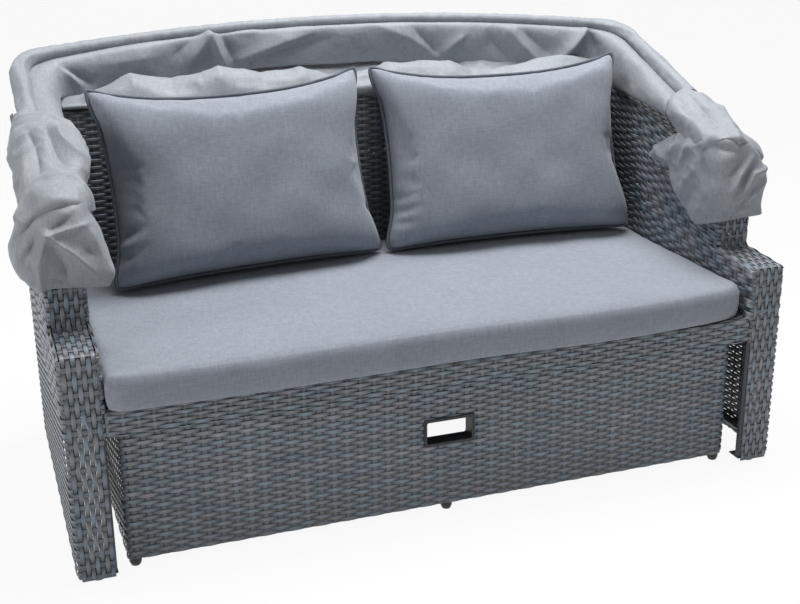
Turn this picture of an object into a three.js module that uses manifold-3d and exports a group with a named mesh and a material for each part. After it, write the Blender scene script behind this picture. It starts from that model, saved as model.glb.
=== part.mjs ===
// Two-seat woven daybed sofa with a folding canopy and a slide-out footstool.
// Millimetres, +Z up, the front faces -Y. Until the last step Y is zero at the front posts' faces.

import * as THREE from 'three';
import { mergeVertices } from 'three/addons/utils/BufferGeometryUtils.js';
import Module from 'manifold-3d';

const wasm = await Module();
wasm.setup();

// Overall sizes of the sofa
const sofaWidth = 1500;
const bodyDepth = 720;
const armWidth = 80;
const backThickness = 80;
const backHeight = 768;

// Side outline of an arm
const stepHeight = 451;
const stepDepth = 137;
const stepRise = 11;
const armFrontHeight = 618;
const armRearHeight = 760;
const outlineRadius = 12;

// Shared stock and fits
const weaveThickness = 4;
const tubeDiameter = 19;
const tubeBend = 28;
const gap = 0.3;
const overrun = 2;
const tubeSides = 8;
const bendSteps = 3;
const filletSteps = 4;
const nutSides = 6;

// Glides
const glideHeight = 12;
const glideDiameter = 30;
const footplateDepth = 34;
const footplateThickness = 3;

// Seat
const seatFrameHeight = 328;
const apronBottom = 285.5;
const seatHeight = 342;
const deckBarCount = 8;
const lowerRailHeight = 300;
const deckBarDiameter = 14;

// Arm rails
const bottomRailHeight = 40;
const armRailHeight = 300;
const spacerDiameter = 14;

// Joining bolts between the seat and the arms
const boltDiameter = 8;
const boltHeadDiameter = 15;
const boltHeadLength = 5;
const boltFrontSetback = 150;
const boltRearSetback = 560;
const boltHoleClearance = 0.6;

// Footstool
const stoolWidth = 1306;
const stoolDepth = 600;
const stoolSetback = 31;
const stoolBottom = 18;
const stoolTop = 280;
const stoolGlideDiameter = 24;
const stoolRadius = 10;
const stoolBarCount = 8;

// Handle opening of the footstool
const handleWidth = 97;
const handleHeight = 47;
const handleCentre = 181;
const handleWall = 3;
const handleFlange = 6;
const handleFlangeThickness = 2.5;
const handleDepth = 32;
const handleRadius = 4;
const handlePostSetout = 22;

// Canopy bows, each a planar hoop that turns on the arm brackets
const bowTube = 16;
const bowLegLength = 579;
const bowArchHeight = 112;
const bowArchPower = 2.2;
const bowBendRadius = 70;
const bowSteps = 7;
const bowSpacing = 20;
const frontBowSetIn = 26;
const rearBowOverTop = 32.3;
const bowFan = 3.5;
const bowNames = ['front_bow', 'middle_bow', 'rear_bow'];
const tabThickness = 4;
const tabWidth = 20;
const tabLength = 26;
const pivotBoltDiameter = 8;
const pivotHoleClearance = 0.6;

// Canopy brackets
const pivotSetback = 160;
const pivotOverArm = 48.4;
const earThickness = 3;
const earWidth = 30;
const bracketFootThickness = 3;
const spacerTubeDiameter = 14;
const pivotHeadLength = 5;
const pivotHeadDiameter = 14;

// Canopy cloth
const clothThickness = 2.5;
const sleeveWall = 2.5;
const sleeveStart = 222;
const clothColumns = 44;
const archSpreadPower = 8;
const curtainRows = 6;
const curtainFolds = 11;
const curtainCurvePower = 2 / 3;
const frontCurtainDrop = 96;
const frontCurtainEndDrop = 30;
const frontCurtainFold = 6;
const middleCurtainDrop = 32;
const middleCurtainEndDrop = 34;
const middleCurtainBendDrop = 19;
const middleCurtainFold = 2.5;
const middleCurtainSetIn = 7;
const curtainClearance = 8;
const curtainLead = 60;
const rearSheetRise = 30;
const rearSheetSetIn = 24;
const rearSheetHem = 12;
const rearSheetColumns = 28;
const rearSheetRows = 8;
const rearSheetFolds = 7;
const rearSheetFold = 4;

// Cloth gathered over each arm end
const drapeOverPivot = 27;
const drapeFrontSetout = 14;
const drapeBottom = 528;
const drapeInnerSetout = 6;
const drapeOuterSetout = 15;
const drapeBend = 34;
const drapeRows = 12;
const drapeColumns = 12;
const drapeFolds = 3;
const drapeFold = 4;
const drapeRoundPower = 0.4;
const drapeSideDepth = 50;
const drapeSideShares = [0.8, 1, 0.92, 0.6, 0.36, 0.3];

// Cushions
const cushionThickness = 68;
const cushionCrown = 7;
const cushionOverhang = 18;
const cushionDrawIn = 5;
const cushionRadius = 26;
const cushionCrownPower = 4;
const cushionCornerPower = 10;
const cushionColumns = 18;
const cushionRows = 9;
const cushionLevels = 4;
const pillowSideRoom = 58;
const pillowHeight = 446;
const pillowFrontSwell = 74;
const pillowRearSwell = 52;
const pillowTopSag = 40;
const pillowBottomSag = 12;
const pillowSideDrawIn = 14;
const pillowTilt = 17.4;
const pillowRearClearance = 8;
const pillowCrownPower = 4;
const pillowSwellPower = 0.6;
const pillowColumns = 12;
const pillowRows = 10;
const leftPillowShift = 42;
const leftPillowTurn = 7;
const rightPillowShift = 3;
const rightPillowTurn = -1.3;

// Worked-out places
const halfWidth = sofaWidth / 2;
const armInner = halfWidth - armWidth;
const tubeRadius = tubeDiameter / 2;
const tubeInset = weaveThickness + gap + tubeRadius;
const backFront = bodyDepth - backThickness;
const armSlope = (armRearHeight - armFrontHeight) / (bodyDepth - stepDepth);
const bayHalfWidth = armInner - gap;
const armTopAtPivot = armFrontHeight + armSlope * (pivotSetback - stepDepth);
const pivotHeight = armTopAtPivot + pivotOverArm;
const bodyTop = Math.max(armRearHeight, backHeight);
const rearBowRise = bodyTop + rearBowOverTop - pivotHeight;
const radians = THREE.MathUtils.degToRad;

// Colours and finishes
const materials = {
  weave: new THREE.MeshStandardMaterial({ color: 0x5b636b, roughness: 0.62, metalness: 0 }),
  steel: new THREE.MeshStandardMaterial({ color: 0x3a3d41, roughness: 0.5, metalness: 0.6 }),
  plastic: new THREE.MeshStandardMaterial({ color: 0x1d1e20, roughness: 0.55, metalness: 0 }),
  zinc: new THREE.MeshStandardMaterial({ color: 0xb4b7ba, roughness: 0.35, metalness: 0.9 }),
  canopy: new THREE.MeshStandardMaterial({ color: 0x92979d, roughness: 0.75, metalness: 0 }),
  cushion: new THREE.MeshStandardMaterial({ color: 0x868c95, roughness: 0.9, metalness: 0 }),
};

const sofa = new THREE.Group();

function add(name, geometry, material) {
  const mesh = new THREE.Mesh(geometry, material);
  mesh.name = name;
  sofa.add(mesh);
  return mesh;
}

// Solids

function toSolid(geometry) {
  const plain = geometry.clone();
  plain.deleteAttribute('normal');
  plain.deleteAttribute('uv');
  const welded = mergeVertices(plain);
  const triVerts = new Uint32Array(welded.index.array);
  const vertProperties = new Float32Array(welded.attributes.position.array);
  return new wasm.Manifold(new wasm.Mesh({ numProp: 3, vertProperties, triVerts }));
}

function toGeometry(solid) {
  const mesh = solid.getMesh();
  const geometry = new THREE.BufferGeometry();
  geometry.setAttribute('position', new THREE.BufferAttribute(mesh.vertProperties, 3));
  geometry.setIndex(new THREE.BufferAttribute(mesh.triVerts, 1));
  return geometry;
}

function joined(pieces, tools = []) {
  let solid = pieces.map(toSolid).reduce((whole, next) => whole.add(next));
  for (const tool of tools) solid = solid.subtract(toSolid(tool));
  return toGeometry(solid);
}

function flipFaces(geometry) {
  const index = geometry.index.array;
  for (let corner = 0; corner < index.length; corner += 3) {
    [index[corner + 1], index[corner + 2]] = [index[corner + 2], index[corner + 1]];
  }
}

function mirrored(geometry) {
  const copy = geometry.index ? geometry.clone() : mergeVertices(geometry);
  copy.deleteAttribute('normal');
  copy.deleteAttribute('uv');
  copy.scale(-1, 1, 1);
  flipFaces(copy);
  return copy;
}

// Shared corners are joined, faces that have shrunk to a line are dropped and all face outwards
function closedSkin(geometry) {
  const plain = geometry.clone();
  plain.deleteAttribute('normal');
  plain.deleteAttribute('uv');
  const welded = mergeVertices(plain);
  const places = welded.attributes.position;
  const corners = [at(0, 0, 0), at(0, 0, 0), at(0, 0, 0)];
  const kept = [];
  let volume = 0;
  for (let face = 0; face < welded.index.count; face += 3) {
    const [a, b, c] = [0, 1, 2].map((corner) => welded.index.getX(face + corner));
    if (a !== b && b !== c && c !== a) {
      [a, b, c].forEach((vertex, corner) => corners[corner].fromBufferAttribute(places, vertex));
      volume += corners[0].dot(corners[1].clone().cross(corners[2]));
      kept.push(a, b, c);
    }
  }
  welded.setIndex(kept);
  if (volume < 0) flipFaces(welded);
  return welded;
}

function addPair(name, geometry, material) {
  add(`right_${name}`, geometry, material);
  add(`left_${name}`, mirrored(geometry), material);
}

// Tubes and rods that bend only at their knots

class BentRun extends THREE.Curve {
  constructor(knots) {
    super();
    this.knots = knots;
  }

  getPoint(share, target = new THREE.Vector3()) {
    const place = share * (this.knots.length - 1);
    const index = Math.min(Math.floor(place), this.knots.length - 2);
    return target.copy(this.knots[index]).lerp(this.knots[index + 1], place - index);
  }

  getPointAt(share, target) {
    return this.getPoint(share, target);
  }

  getTangentAt(share, target = new THREE.Vector3()) {
    const last = this.knots.length - 1;
    const here = Math.round(share * last);
    const knot = this.knots[here];
    const before = new THREE.Vector3().subVectors(knot, this.knots[Math.max(here - 1, 0)]).normalize();
    const after = new THREE.Vector3().subVectors(this.knots[Math.min(here + 1, last)], knot).normalize();
    return target.addVectors(before, after).normalize();
  }
}

function bentKnots(points, radius) {
  const knots = [points[0]];
  for (let corner = 1; corner < points.length - 1; corner += 1) {
    const inward = new THREE.Vector3().subVectors(points[corner], points[corner - 1]);
    const onward = new THREE.Vector3().subVectors(points[corner + 1], points[corner]);
    const reach = Math.min(radius, inward.length() / 2, onward.length() / 2);
    const start = points[corner].clone().addScaledVector(inward.normalize(), -reach);
    const end = points[corner].clone().addScaledVector(onward.normalize(), reach);
    knots.push(...new THREE.QuadraticBezierCurve3(start, points[corner], end).getPoints(bendSteps));
  }
  knots.push(points[points.length - 1]);
  return knots;
}

function roundSection(radius, sides) {
  return new THREE.Shape(circle(0, 0, radius, sides));
}

function sweep(knots, section) {
  const extrudePath = new BentRun(knots);
  return new THREE.ExtrudeGeometry(section, { steps: knots.length - 1, extrudePath });
}

function tube(points, diameter = tubeDiameter, bend = tubeBend) {
  return sweep(bentKnots(points, bend), roundSection(diameter / 2, tubeSides));
}

function rod(start, end, diameter, sides = tubeSides) {
  const length = start.distanceTo(end);
  const geometry = new THREE.CylinderGeometry(diameter / 2, diameter / 2, length, sides);
  const along = new THREE.Vector3().subVectors(end, start).normalize();
  geometry.applyQuaternion(new THREE.Quaternion().setFromUnitVectors(new THREE.Vector3(0, 1, 0), along));
  geometry.translate((start.x + end.x) / 2, (start.y + end.y) / 2, (start.z + end.z) / 2);
  return geometry;
}

function block(low, high) {
  const geometry = new THREE.BoxGeometry(high.x - low.x, high.y - low.y, high.z - low.z);
  geometry.translate((low.x + high.x) / 2, (low.y + high.y) / 2, (low.z + high.z) / 2);
  return geometry;
}

const at = (x, y, z) => new THREE.Vector3(x, y, z);

// Outlines in a plane, as lists of points

function inset(points, distances) {
  const count = points.length;
  const edges = points.map((point, index) => {
    const next = points[(index + 1) % count];
    const along = new THREE.Vector2().subVectors(next, point).normalize();
    const inward = new THREE.Vector2(-along.y, along.x);
    const distance = Array.isArray(distances) ? distances[index] : distances;
    return { base: point.clone().addScaledVector(inward, distance), along };
  });
  return points.map((point, index) => {
    const before = edges[(index + count - 1) % count];
    const after = edges[index];
    const cross = before.along.cross(after.along);
    const between = new THREE.Vector2().subVectors(after.base, before.base);
    return before.base.clone().addScaledVector(before.along, between.cross(after.along) / cross);
  });
}

function filleted(points, radius, closed = true) {
  const count = points.length;
  const rounded = [];
  points.forEach((point, index) => {
    const isEnd = !closed && (index === 0 || index === count - 1);
    if (isEnd || radius === 0) {
      rounded.push(point);
      return;
    }
    const before = points[(index + count - 1) % count];
    const after = points[(index + 1) % count];
    const reach = Math.min(radius, point.distanceTo(before) / 2, point.distanceTo(after) / 2);
    const start = point.clone().lerp(before, reach / point.distanceTo(before));
    const end = point.clone().lerp(after, reach / point.distanceTo(after));
    rounded.push(...new THREE.QuadraticBezierCurve(start, point, end).getPoints(filletSteps));
  });
  return rounded;
}

const flat = (x, y) => new THREE.Vector2(x, y);

// A side outline holds (depth, height) and is pushed along X
function acrossX(points, from, to, holes = []) {
  const shape = new THREE.Shape(points);
  shape.holes = holes.map((hole) => new THREE.Path(hole));
  const geometry = new THREE.ExtrudeGeometry(shape, { depth: to - from, bevelEnabled: false });
  const turn = new THREE.Matrix4().makeBasis(at(0, 1, 0), at(0, 0, 1), at(1, 0, 0));
  geometry.applyMatrix4(turn);
  geometry.translate(from, 0, 0);
  return geometry;
}

// A front outline holds (across, height) and is pushed along Y, from the front backwards
function acrossY(points, from, to, holes = []) {
  const shape = new THREE.Shape(points);
  shape.holes = holes.map((hole) => new THREE.Path(hole));
  const geometry = new THREE.ExtrudeGeometry(shape, { depth: to - from, bevelEnabled: false });
  const turn = new THREE.Matrix4().makeBasis(at(1, 0, 0), at(0, 0, 1), at(0, -1, 0));
  geometry.applyMatrix4(turn);
  geometry.translate(0, to, 0);
  return geometry;
}

function circle(x, y, radius, sides = tubeSides) {
  const points = [];
  for (let side = 0; side < sides; side += 1) {
    const turn = (2 * Math.PI * (side + 0.5)) / sides;
    points.push(flat(x + radius * Math.cos(turn), y + radius * Math.sin(turn)));
  }
  return points;
}

function rectangle(left, right, bottom, top) {
  return [flat(left, bottom), flat(right, bottom), flat(right, top), flat(left, top)];
}

// Arms

// The outline runs anticlockwise from the front foot: bottom, rear, top slope, front, step, post
const armOutline = [
  flat(0, glideHeight),
  flat(bodyDepth, glideHeight),
  flat(bodyDepth, armRearHeight),
  flat(stepDepth, armFrontHeight),
  flat(stepDepth, stepHeight + stepRise),
  flat(0, stepHeight),
];

function armBand() {
  const bottomOpen = [0, weaveThickness, weaveThickness, weaveThickness, weaveThickness, weaveThickness];
  const innerLine = inset(armOutline, bottomOpen);
  const outerPath = filleted([...armOutline.slice(1), armOutline[0]], outlineRadius, false);
  const innerRadius = outlineRadius - weaveThickness;
  const innerPath = filleted([...innerLine.slice(1), innerLine[0]], innerRadius, false);
  return acrossX([...outerPath, ...innerPath.reverse()], armInner, halfWidth);
}

function armSkin(bottom, from, holes = []) {
  const fit = weaveThickness + gap;
  const raised = armOutline.map((point) => flat(point.x, Math.max(point.y, bottom)));
  const line = filleted(inset(raised, [0, fit, fit, fit, fit, fit]), outlineRadius - fit);
  return acrossX(line, from, from + weaveThickness, holes);
}

// The seat's bolts go through the inner skin
function boltHoles() {
  const radius = boltDiameter / 2 + boltHoleClearance;
  return [boltFrontSetback, boltRearSetback].map((setback) => circle(setback, armRailHeight, radius));
}

// Two tubes make a loop: one bends over the post and the step, one goes round the upper arm
function armLoop(across) {
  const line = inset(armOutline, tubeInset);
  const foot = glideHeight + gap;
  const place = (point) => at(across, point.x, point.y);
  const stepEnd = flat(line[4].x + tubeRadius - gap, line[4].y);
  const lower = [flat(line[0].x, foot), line[5], stepEnd];
  const upper = [line[4], line[3], line[2], flat(line[2].x, foot)];
  return [tube(lower.map(place)), tube(upper.map(place))];
}

function armFrame() {
  const line = inset(armOutline, tubeInset);
  const front = line[0].x;
  const rear = line[2].x;
  const innerTube = armInner + tubeInset;
  const outerTube = halfWidth - tubeInset;
  const spacerPlaces = [
    flat(front, bottomRailHeight),
    flat(front, armRailHeight),
    flat((line[5].x + line[4].x) / 2, (line[5].y + line[4].y) / 2),
    flat(line[3].x, (line[3].y + line[4].y) / 2),
    flat((line[3].x + line[2].x) / 2, (line[3].y + line[2].y) / 2),
    flat(rear, armRailHeight),
    flat(rear, bottomRailHeight),
  ];
  const pieces = [...armLoop(innerTube), ...armLoop(outerTube)];
  for (const [across, height] of [[outerTube, bottomRailHeight], [innerTube, armRailHeight]]) {
    pieces.push(rod(at(across, front, height), at(across, rear, height), tubeDiameter));
  }
  for (const place of spacerPlaces) {
    pieces.push(rod(at(innerTube, place.x, place.y), at(outerTube, place.x, place.y), spacerDiameter));
  }
  for (const depth of [weaveThickness + gap, bodyDepth - weaveThickness - gap - footplateDepth]) {
    const low = at(innerTube - tubeRadius, depth, glideHeight);
    const high = at(outerTube + tubeRadius, depth + footplateDepth, glideHeight + footplateThickness);
    pieces.push(block(low, high));
  }
  const holeDiameter = boltDiameter + 2 * boltHoleClearance;
  const holes = [boltFrontSetback, boltRearSetback].map((setback) => {
    const low = at(innerTube - tubeDiameter, setback, armRailHeight);
    return rod(low, at(innerTube + tubeDiameter, setback, armRailHeight), holeDiameter, tubeSides);
  });
  return joined(pieces, holes);
}

addPair('arm_frame', armFrame(), materials.steel);
addPair('arm_edge_weave', armBand(), materials.weave);
addPair('arm_outer_weave', armSkin(glideHeight, halfWidth - weaveThickness), materials.weave);
addPair('arm_inner_weave', armSkin(apronBottom, armInner, boltHoles()), materials.weave);

// Back

function backFrame() {
  const side = bayHalfWidth - tubeInset;
  const frontLine = backFront + tubeInset;
  const rearLine = bodyDepth - tubeInset;
  const top = backHeight - tubeInset;
  const postShares = [-1, -1 / 3, 1 / 3, 1];
  const pieces = [];
  for (const share of postShares) {
    const across = share * side;
    pieces.push(rod(at(across, frontLine, seatHeight), at(across, frontLine, top), tubeDiameter));
    pieces.push(rod(at(across, rearLine, bottomRailHeight), at(across, rearLine, top), tubeDiameter));
    pieces.push(rod(at(across, frontLine, top), at(across, rearLine, top), spacerDiameter));
    pieces.push(rod(at(across, frontLine, seatHeight), at(across, rearLine, seatHeight), spacerDiameter));
  }
  const rails = [[frontLine, seatHeight], [frontLine, top], [rearLine, bottomRailHeight], [rearLine, top]];
  for (const [depth, height] of rails) {
    const end = side + tubeRadius;
    pieces.push(rod(at(-end, depth, height), at(end, depth, height), tubeDiameter));
  }
  return joined(pieces);
}

// The weave goes up the front, over the top and down the rear face
function backWeave() {
  const frontBottom = seatHeight - tubeInset;
  const rearBottom = bottomRailHeight - tubeInset;
  const outer = [
    flat(bodyDepth, rearBottom),
    flat(bodyDepth, backHeight),
    flat(backFront, backHeight),
    flat(backFront, frontBottom),
  ];
  const inner = [
    flat(bodyDepth - weaveThickness, rearBottom),
    flat(bodyDepth - weaveThickness, backHeight - weaveThickness),
    flat(backFront + weaveThickness, backHeight - weaveThickness),
    flat(backFront + weaveThickness, frontBottom),
  ];
  const outerPath = filleted(outer, outlineRadius, false);
  const innerPath = filleted(inner, outlineRadius - weaveThickness, false);
  return acrossX([...outerPath, ...innerPath.reverse()], -bayHalfWidth, bayHalfWidth);
}

add('back_frame', backFrame(), materials.steel);
add('back_weave', backWeave(), materials.weave);

// Seat

const seatFront = 0;
const seatRear = backFront - gap;

const seatSide = bayHalfWidth - tubeRadius;
const seatRailFront = seatFront + tubeInset;
const seatRailRear = seatRear - tubeInset;
const seatBarPlaces = [];
for (let bar = 1; bar <= deckBarCount; bar += 1) {
  seatBarPlaces.push(-seatSide + (2 * seatSide * bar) / (deckBarCount + 1));
}

function seatFrame() {
  const rail = (fromX, fromY, toX, toY, diameter) =>
    rod(at(fromX, fromY, seatFrameHeight), at(toX, toY, seatFrameHeight), diameter);
  const pieces = [
    rail(-seatSide, seatRailFront, seatSide, seatRailFront, tubeDiameter),
    rail(-seatSide, seatRailRear, seatSide, seatRailRear, tubeDiameter),
    rail(-seatSide, seatRailFront, -seatSide, seatRailRear, tubeDiameter),
    rail(seatSide, seatRailFront, seatSide, seatRailRear, tubeDiameter),
  ];
  for (const across of seatBarPlaces) {
    pieces.push(rail(across, seatRailFront, across, seatRailRear, deckBarDiameter));
  }
  return joined(pieces);
}

// The apron's hoop stands under the deck frame and takes the bolts to the arms
function apronFrame() {
  const top = seatFrameHeight - tubeRadius - gap;
  const low = (x, y) => at(x, y, lowerRailHeight);
  const pieces = [rod(low(-seatSide, seatRailFront), low(seatSide, seatRailFront), tubeDiameter)];
  const holeDiameter = boltDiameter + 2 * boltHoleClearance;
  const holes = [];
  for (const across of [-seatSide, seatSide]) {
    pieces.push(rod(low(across, seatRailFront), low(across, seatRailRear), tubeDiameter));
    for (const depth of [seatRailFront, seatRailRear]) {
      pieces.push(rod(low(across, depth), at(across, depth, top), tubeDiameter));
    }
    for (const setback of [boltFrontSetback, boltRearSetback]) {
      holes.push(rod(low(across - tubeDiameter, setback), low(across + tubeDiameter, setback), holeDiameter));
    }
  }
  for (const across of seatBarPlaces) {
    pieces.push(rod(low(across, seatRailFront), at(across, seatRailFront, top), deckBarDiameter));
  }
  return joined(pieces, holes);
}

// The weave starts under the front rail, goes up the front and back over the deck
function seatWeave() {
  const top = seatHeight;
  const lip = tubeInset + tubeRadius;
  const outer = [
    flat(seatFront + lip, apronBottom),
    flat(seatFront, apronBottom),
    flat(seatFront, top),
    flat(seatRear, top),
  ];
  const inner = [
    flat(seatFront + lip, apronBottom + weaveThickness),
    flat(seatFront + weaveThickness, apronBottom + weaveThickness),
    flat(seatFront + weaveThickness, top - weaveThickness),
    flat(seatRear, top - weaveThickness),
  ];
  const outerPath = filleted(outer, outlineRadius, false);
  const innerPath = filleted(inner, outlineRadius - weaveThickness, false);
  return acrossX([...innerPath, ...outerPath.reverse()], -bayHalfWidth, bayHalfWidth);
}

add('seat_frame', seatFrame(), materials.steel);
add('seat_apron_frame', apronFrame(), materials.steel);
add('seat_weave', seatWeave(), materials.weave);

// Each bolt goes through the seat's side rail and the arm's rail, with its head on the seat's side
function seatBolt(setback) {
  const railSide = bayHalfWidth - tubeDiameter - gap;
  const tip = armInner + tubeInset + tubeRadius + boltHeadLength;
  const shank = rod(at(railSide, setback, armRailHeight), at(tip, setback, armRailHeight), boltDiameter);
  const headEnd = at(railSide - boltHeadLength, setback, armRailHeight);
  return joined([shank, rod(headEnd, at(railSide, setback, armRailHeight), boltHeadDiameter)]);
}

addPair('front_seat_bolt', seatBolt(boltFrontSetback), materials.zinc);
addPair('rear_seat_bolt', seatBolt(boltRearSetback), materials.zinc);

// Glides under the posts

function glide(across, depth, height, diameter) {
  const radius = diameter / 2;
  const profile = [
    flat(0, 0),
    flat(radius - radius / 4, 0),
    flat(radius, height / 3),
    flat(radius, height),
    flat(0, height),
  ];
  const geometry = new THREE.LatheGeometry(profile, 2 * tubeSides);
  geometry.rotateX(Math.PI / 2);
  geometry.translate(across, depth, 0);
  return geometry;
}

const postAcross = halfWidth - armWidth / 2;
const glideSetback = weaveThickness + gap + footplateDepth / 2;
const glideTop = glideHeight - gap;
for (const [name, depth] of [['front', glideSetback], ['rear', bodyDepth - glideSetback]]) {
  addPair(`${name}_glide`, glide(postAcross, depth, glideTop, glideDiameter), materials.plastic);
}

// Footstool

const stoolHalf = stoolWidth / 2;
const stoolRear = stoolSetback + stoolDepth;
const handleOuterWidth = handleWidth + 2 * handleWall;
const handleOuterHeight = handleHeight + 2 * handleWall;

function stoolFrame() {
  const side = stoolHalf - tubeInset;
  const front = stoolSetback + tubeInset;
  const rear = stoolRear - tubeInset;
  const low = stoolBottom + tubeInset;
  const high = stoolTop - tubeInset;
  const handleSide = handleOuterWidth / 2 + handlePostSetout;
  const pieces = [];
  for (const height of [low, high]) {
    const corners = [[-side, front], [side, front], [side, rear], [-side, rear]];
    corners.forEach(([x, y], index) => {
      const [nextX, nextY] = corners[(index + 1) % corners.length];
      pieces.push(rod(at(x, y, height), at(nextX, nextY, height), tubeDiameter));
    });
  }
  const posts = [[-side, front], [side, front], [side, rear], [-side, rear]];
  posts.push([-handleSide, front], [handleSide, front], [0, rear]);
  for (const [x, y] of posts) {
    pieces.push(rod(at(x, y, low - tubeRadius), at(x, y, high + tubeRadius), tubeDiameter));
  }
  for (let bar = 1; bar <= stoolBarCount; bar += 1) {
    const across = -side + (2 * side * bar) / (stoolBarCount + 1);
    pieces.push(rod(at(across, front, high), at(across, rear, high), deckBarDiameter));
  }
  return joined(pieces);
}

function stoolFrontWeave() {
  const halfHole = handleOuterWidth / 2 + gap;
  const holeLow = handleCentre - handleOuterHeight / 2 - gap;
  const holeHigh = handleCentre + handleOuterHeight / 2 + gap;
  const hole = filleted(rectangle(-halfHole, halfHole, holeLow, holeHigh), handleRadius);
  const face = filleted(rectangle(-stoolHalf, stoolHalf, stoolBottom, stoolTop), stoolRadius);
  return acrossY(face, stoolSetback, stoolSetback + weaveThickness, [hole]);
}

// One sheet goes round the two sides and the rear
function stoolWrap(bottom, top) {
  const front = stoolSetback + weaveThickness + gap;
  const outer = [
    flat(-stoolHalf, front),
    flat(-stoolHalf, stoolRear),
    flat(stoolHalf, stoolRear),
    flat(stoolHalf, front),
  ];
  const inner = [
    flat(-stoolHalf + weaveThickness, front),
    flat(-stoolHalf + weaveThickness, stoolRear - weaveThickness),
    flat(stoolHalf - weaveThickness, stoolRear - weaveThickness),
    flat(stoolHalf - weaveThickness, front),
  ];
  const outerPath = filleted(outer, stoolRadius, false);
  const innerPath = filleted(inner, stoolRadius - weaveThickness, false);
  const shape = new THREE.Shape([...innerPath, ...outerPath.reverse()]);
  const geometry = new THREE.ExtrudeGeometry(shape, { depth: top - bottom, bevelEnabled: false });
  geometry.translate(0, 0, bottom);
  return geometry;
}

function stoolDeckWeave() {
  const side = stoolHalf - weaveThickness - gap;
  const front = stoolSetback + weaveThickness + gap;
  const rear = stoolRear - weaveThickness - gap;
  const line = filleted(rectangle(-side, side, front, rear), stoolRadius - weaveThickness);
  const shape = new THREE.Shape(line);
  const geometry = new THREE.ExtrudeGeometry(shape, { depth: weaveThickness, bevelEnabled: false });
  geometry.translate(0, 0, stoolTop - weaveThickness);
  return geometry;
}

// A flanged plastic frame lines the handle opening
function handleLiner() {
  const halfWide = handleOuterWidth / 2;
  const halfTall = handleOuterHeight / 2;
  const low = handleCentre - halfTall;
  const high = handleCentre + halfTall;
  const flangeFront = stoolSetback - gap - handleFlangeThickness;
  const flangeRim = handleFlange - handleWall;
  const sleeve = filleted(rectangle(-halfWide, halfWide, low, high), handleRadius);
  const rim = rectangle(-halfWide - flangeRim, halfWide + flangeRim, low - flangeRim, high + flangeRim);
  const mouth = rectangle(-handleWidth / 2, handleWidth / 2, low + handleWall, high - handleWall);
  const flange = acrossY(filleted(rim, handleRadius), flangeFront, flangeFront + handleFlangeThickness);
  const body = acrossY(sleeve, flangeFront, stoolSetback + handleDepth);
  const rear = stoolSetback + handleDepth + overrun;
  return joined([flange, body], [acrossY(filleted(mouth, handleRadius), flangeFront - overrun, rear)]);
}

add('footstool_frame', stoolFrame(), materials.steel);
add('footstool_front_weave', stoolFrontWeave(), materials.weave);
add('footstool_side_weave', stoolWrap(stoolBottom, stoolTop), materials.weave);
add('footstool_deck_weave', stoolDeckWeave(), materials.weave);
add('footstool_handle_liner', handleLiner(), materials.plastic);

const stoolFootInset = weaveThickness + gap + stoolGlideDiameter / 2;
const stoolFootHeight = stoolBottom + tubeInset - tubeRadius - gap;
const stoolFeet = [
  ['front_left', stoolFootInset - stoolHalf, stoolSetback + stoolFootInset],
  ['front_middle', 0, stoolSetback + stoolFootInset],
  ['front_right', stoolHalf - stoolFootInset, stoolSetback + stoolFootInset],
  ['rear_left', stoolFootInset - stoolHalf, stoolRear - stoolFootInset],
  ['rear_middle', 0, stoolRear - stoolFootInset],
  ['rear_right', stoolHalf - stoolFootInset, stoolRear - stoolFootInset],
];
for (const [name, across, depth] of stoolFeet) {
  const foot = glide(across, depth, stoolFootHeight, stoolGlideDiameter);
  add(`footstool_${name}_glide`, foot, materials.plastic);
}

// Canopy bows

// A bow lies in a plane through the pivots: points are (across, distance from the pivots)
function bowLine(halfSpan) {
  const legEnd = flat(halfSpan, tabLength - tabWidth / 2);
  const arch = [];
  for (let step = -bowSteps; step <= bowSteps; step += 1) {
    const share = (-step / bowSteps) * (1 - bowBendRadius / halfSpan);
    arch.push(flat(share * halfSpan, archReach(share)));
  }
  const corner = flat(halfSpan, archReach(1));
  const legTop = flat(halfSpan, bowLegLength - bowBendRadius);
  const bend = new THREE.QuadraticBezierCurve(legTop, corner, arch[0]).getPoints(bendSteps + 1).slice(0, -1);
  const otherBend = bend.map((point) => flat(-point.x, point.y)).reverse();
  return [legEnd, ...bend, ...arch, ...otherBend, flat(-legEnd.x, legEnd.y)];
}

function archReach(share) {
  return bowLegLength + bowArchHeight * (1 - Math.abs(share) ** bowArchPower);
}

// A place in a bow's plane, turned up from the rear horizontal by an angle about the pivots
function onBow(point, angle, lift = 0) {
  const cos = Math.cos(radians(angle));
  const sin = Math.sin(radians(angle));
  const depth = pivotSetback + point.y * cos - lift * sin;
  return at(point.x, depth, pivotHeight + point.y * sin + lift * cos);
}

const rearBowAngle = THREE.MathUtils.radToDeg(Math.asin(rearBowRise / bowLegLength));
const bowSpan = (index) => halfWidth - frontBowSetIn - index * bowSpacing;
const bowAngle = (index) => rearBowAngle + (bowNames.length - 1 - index) * bowFan;

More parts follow.
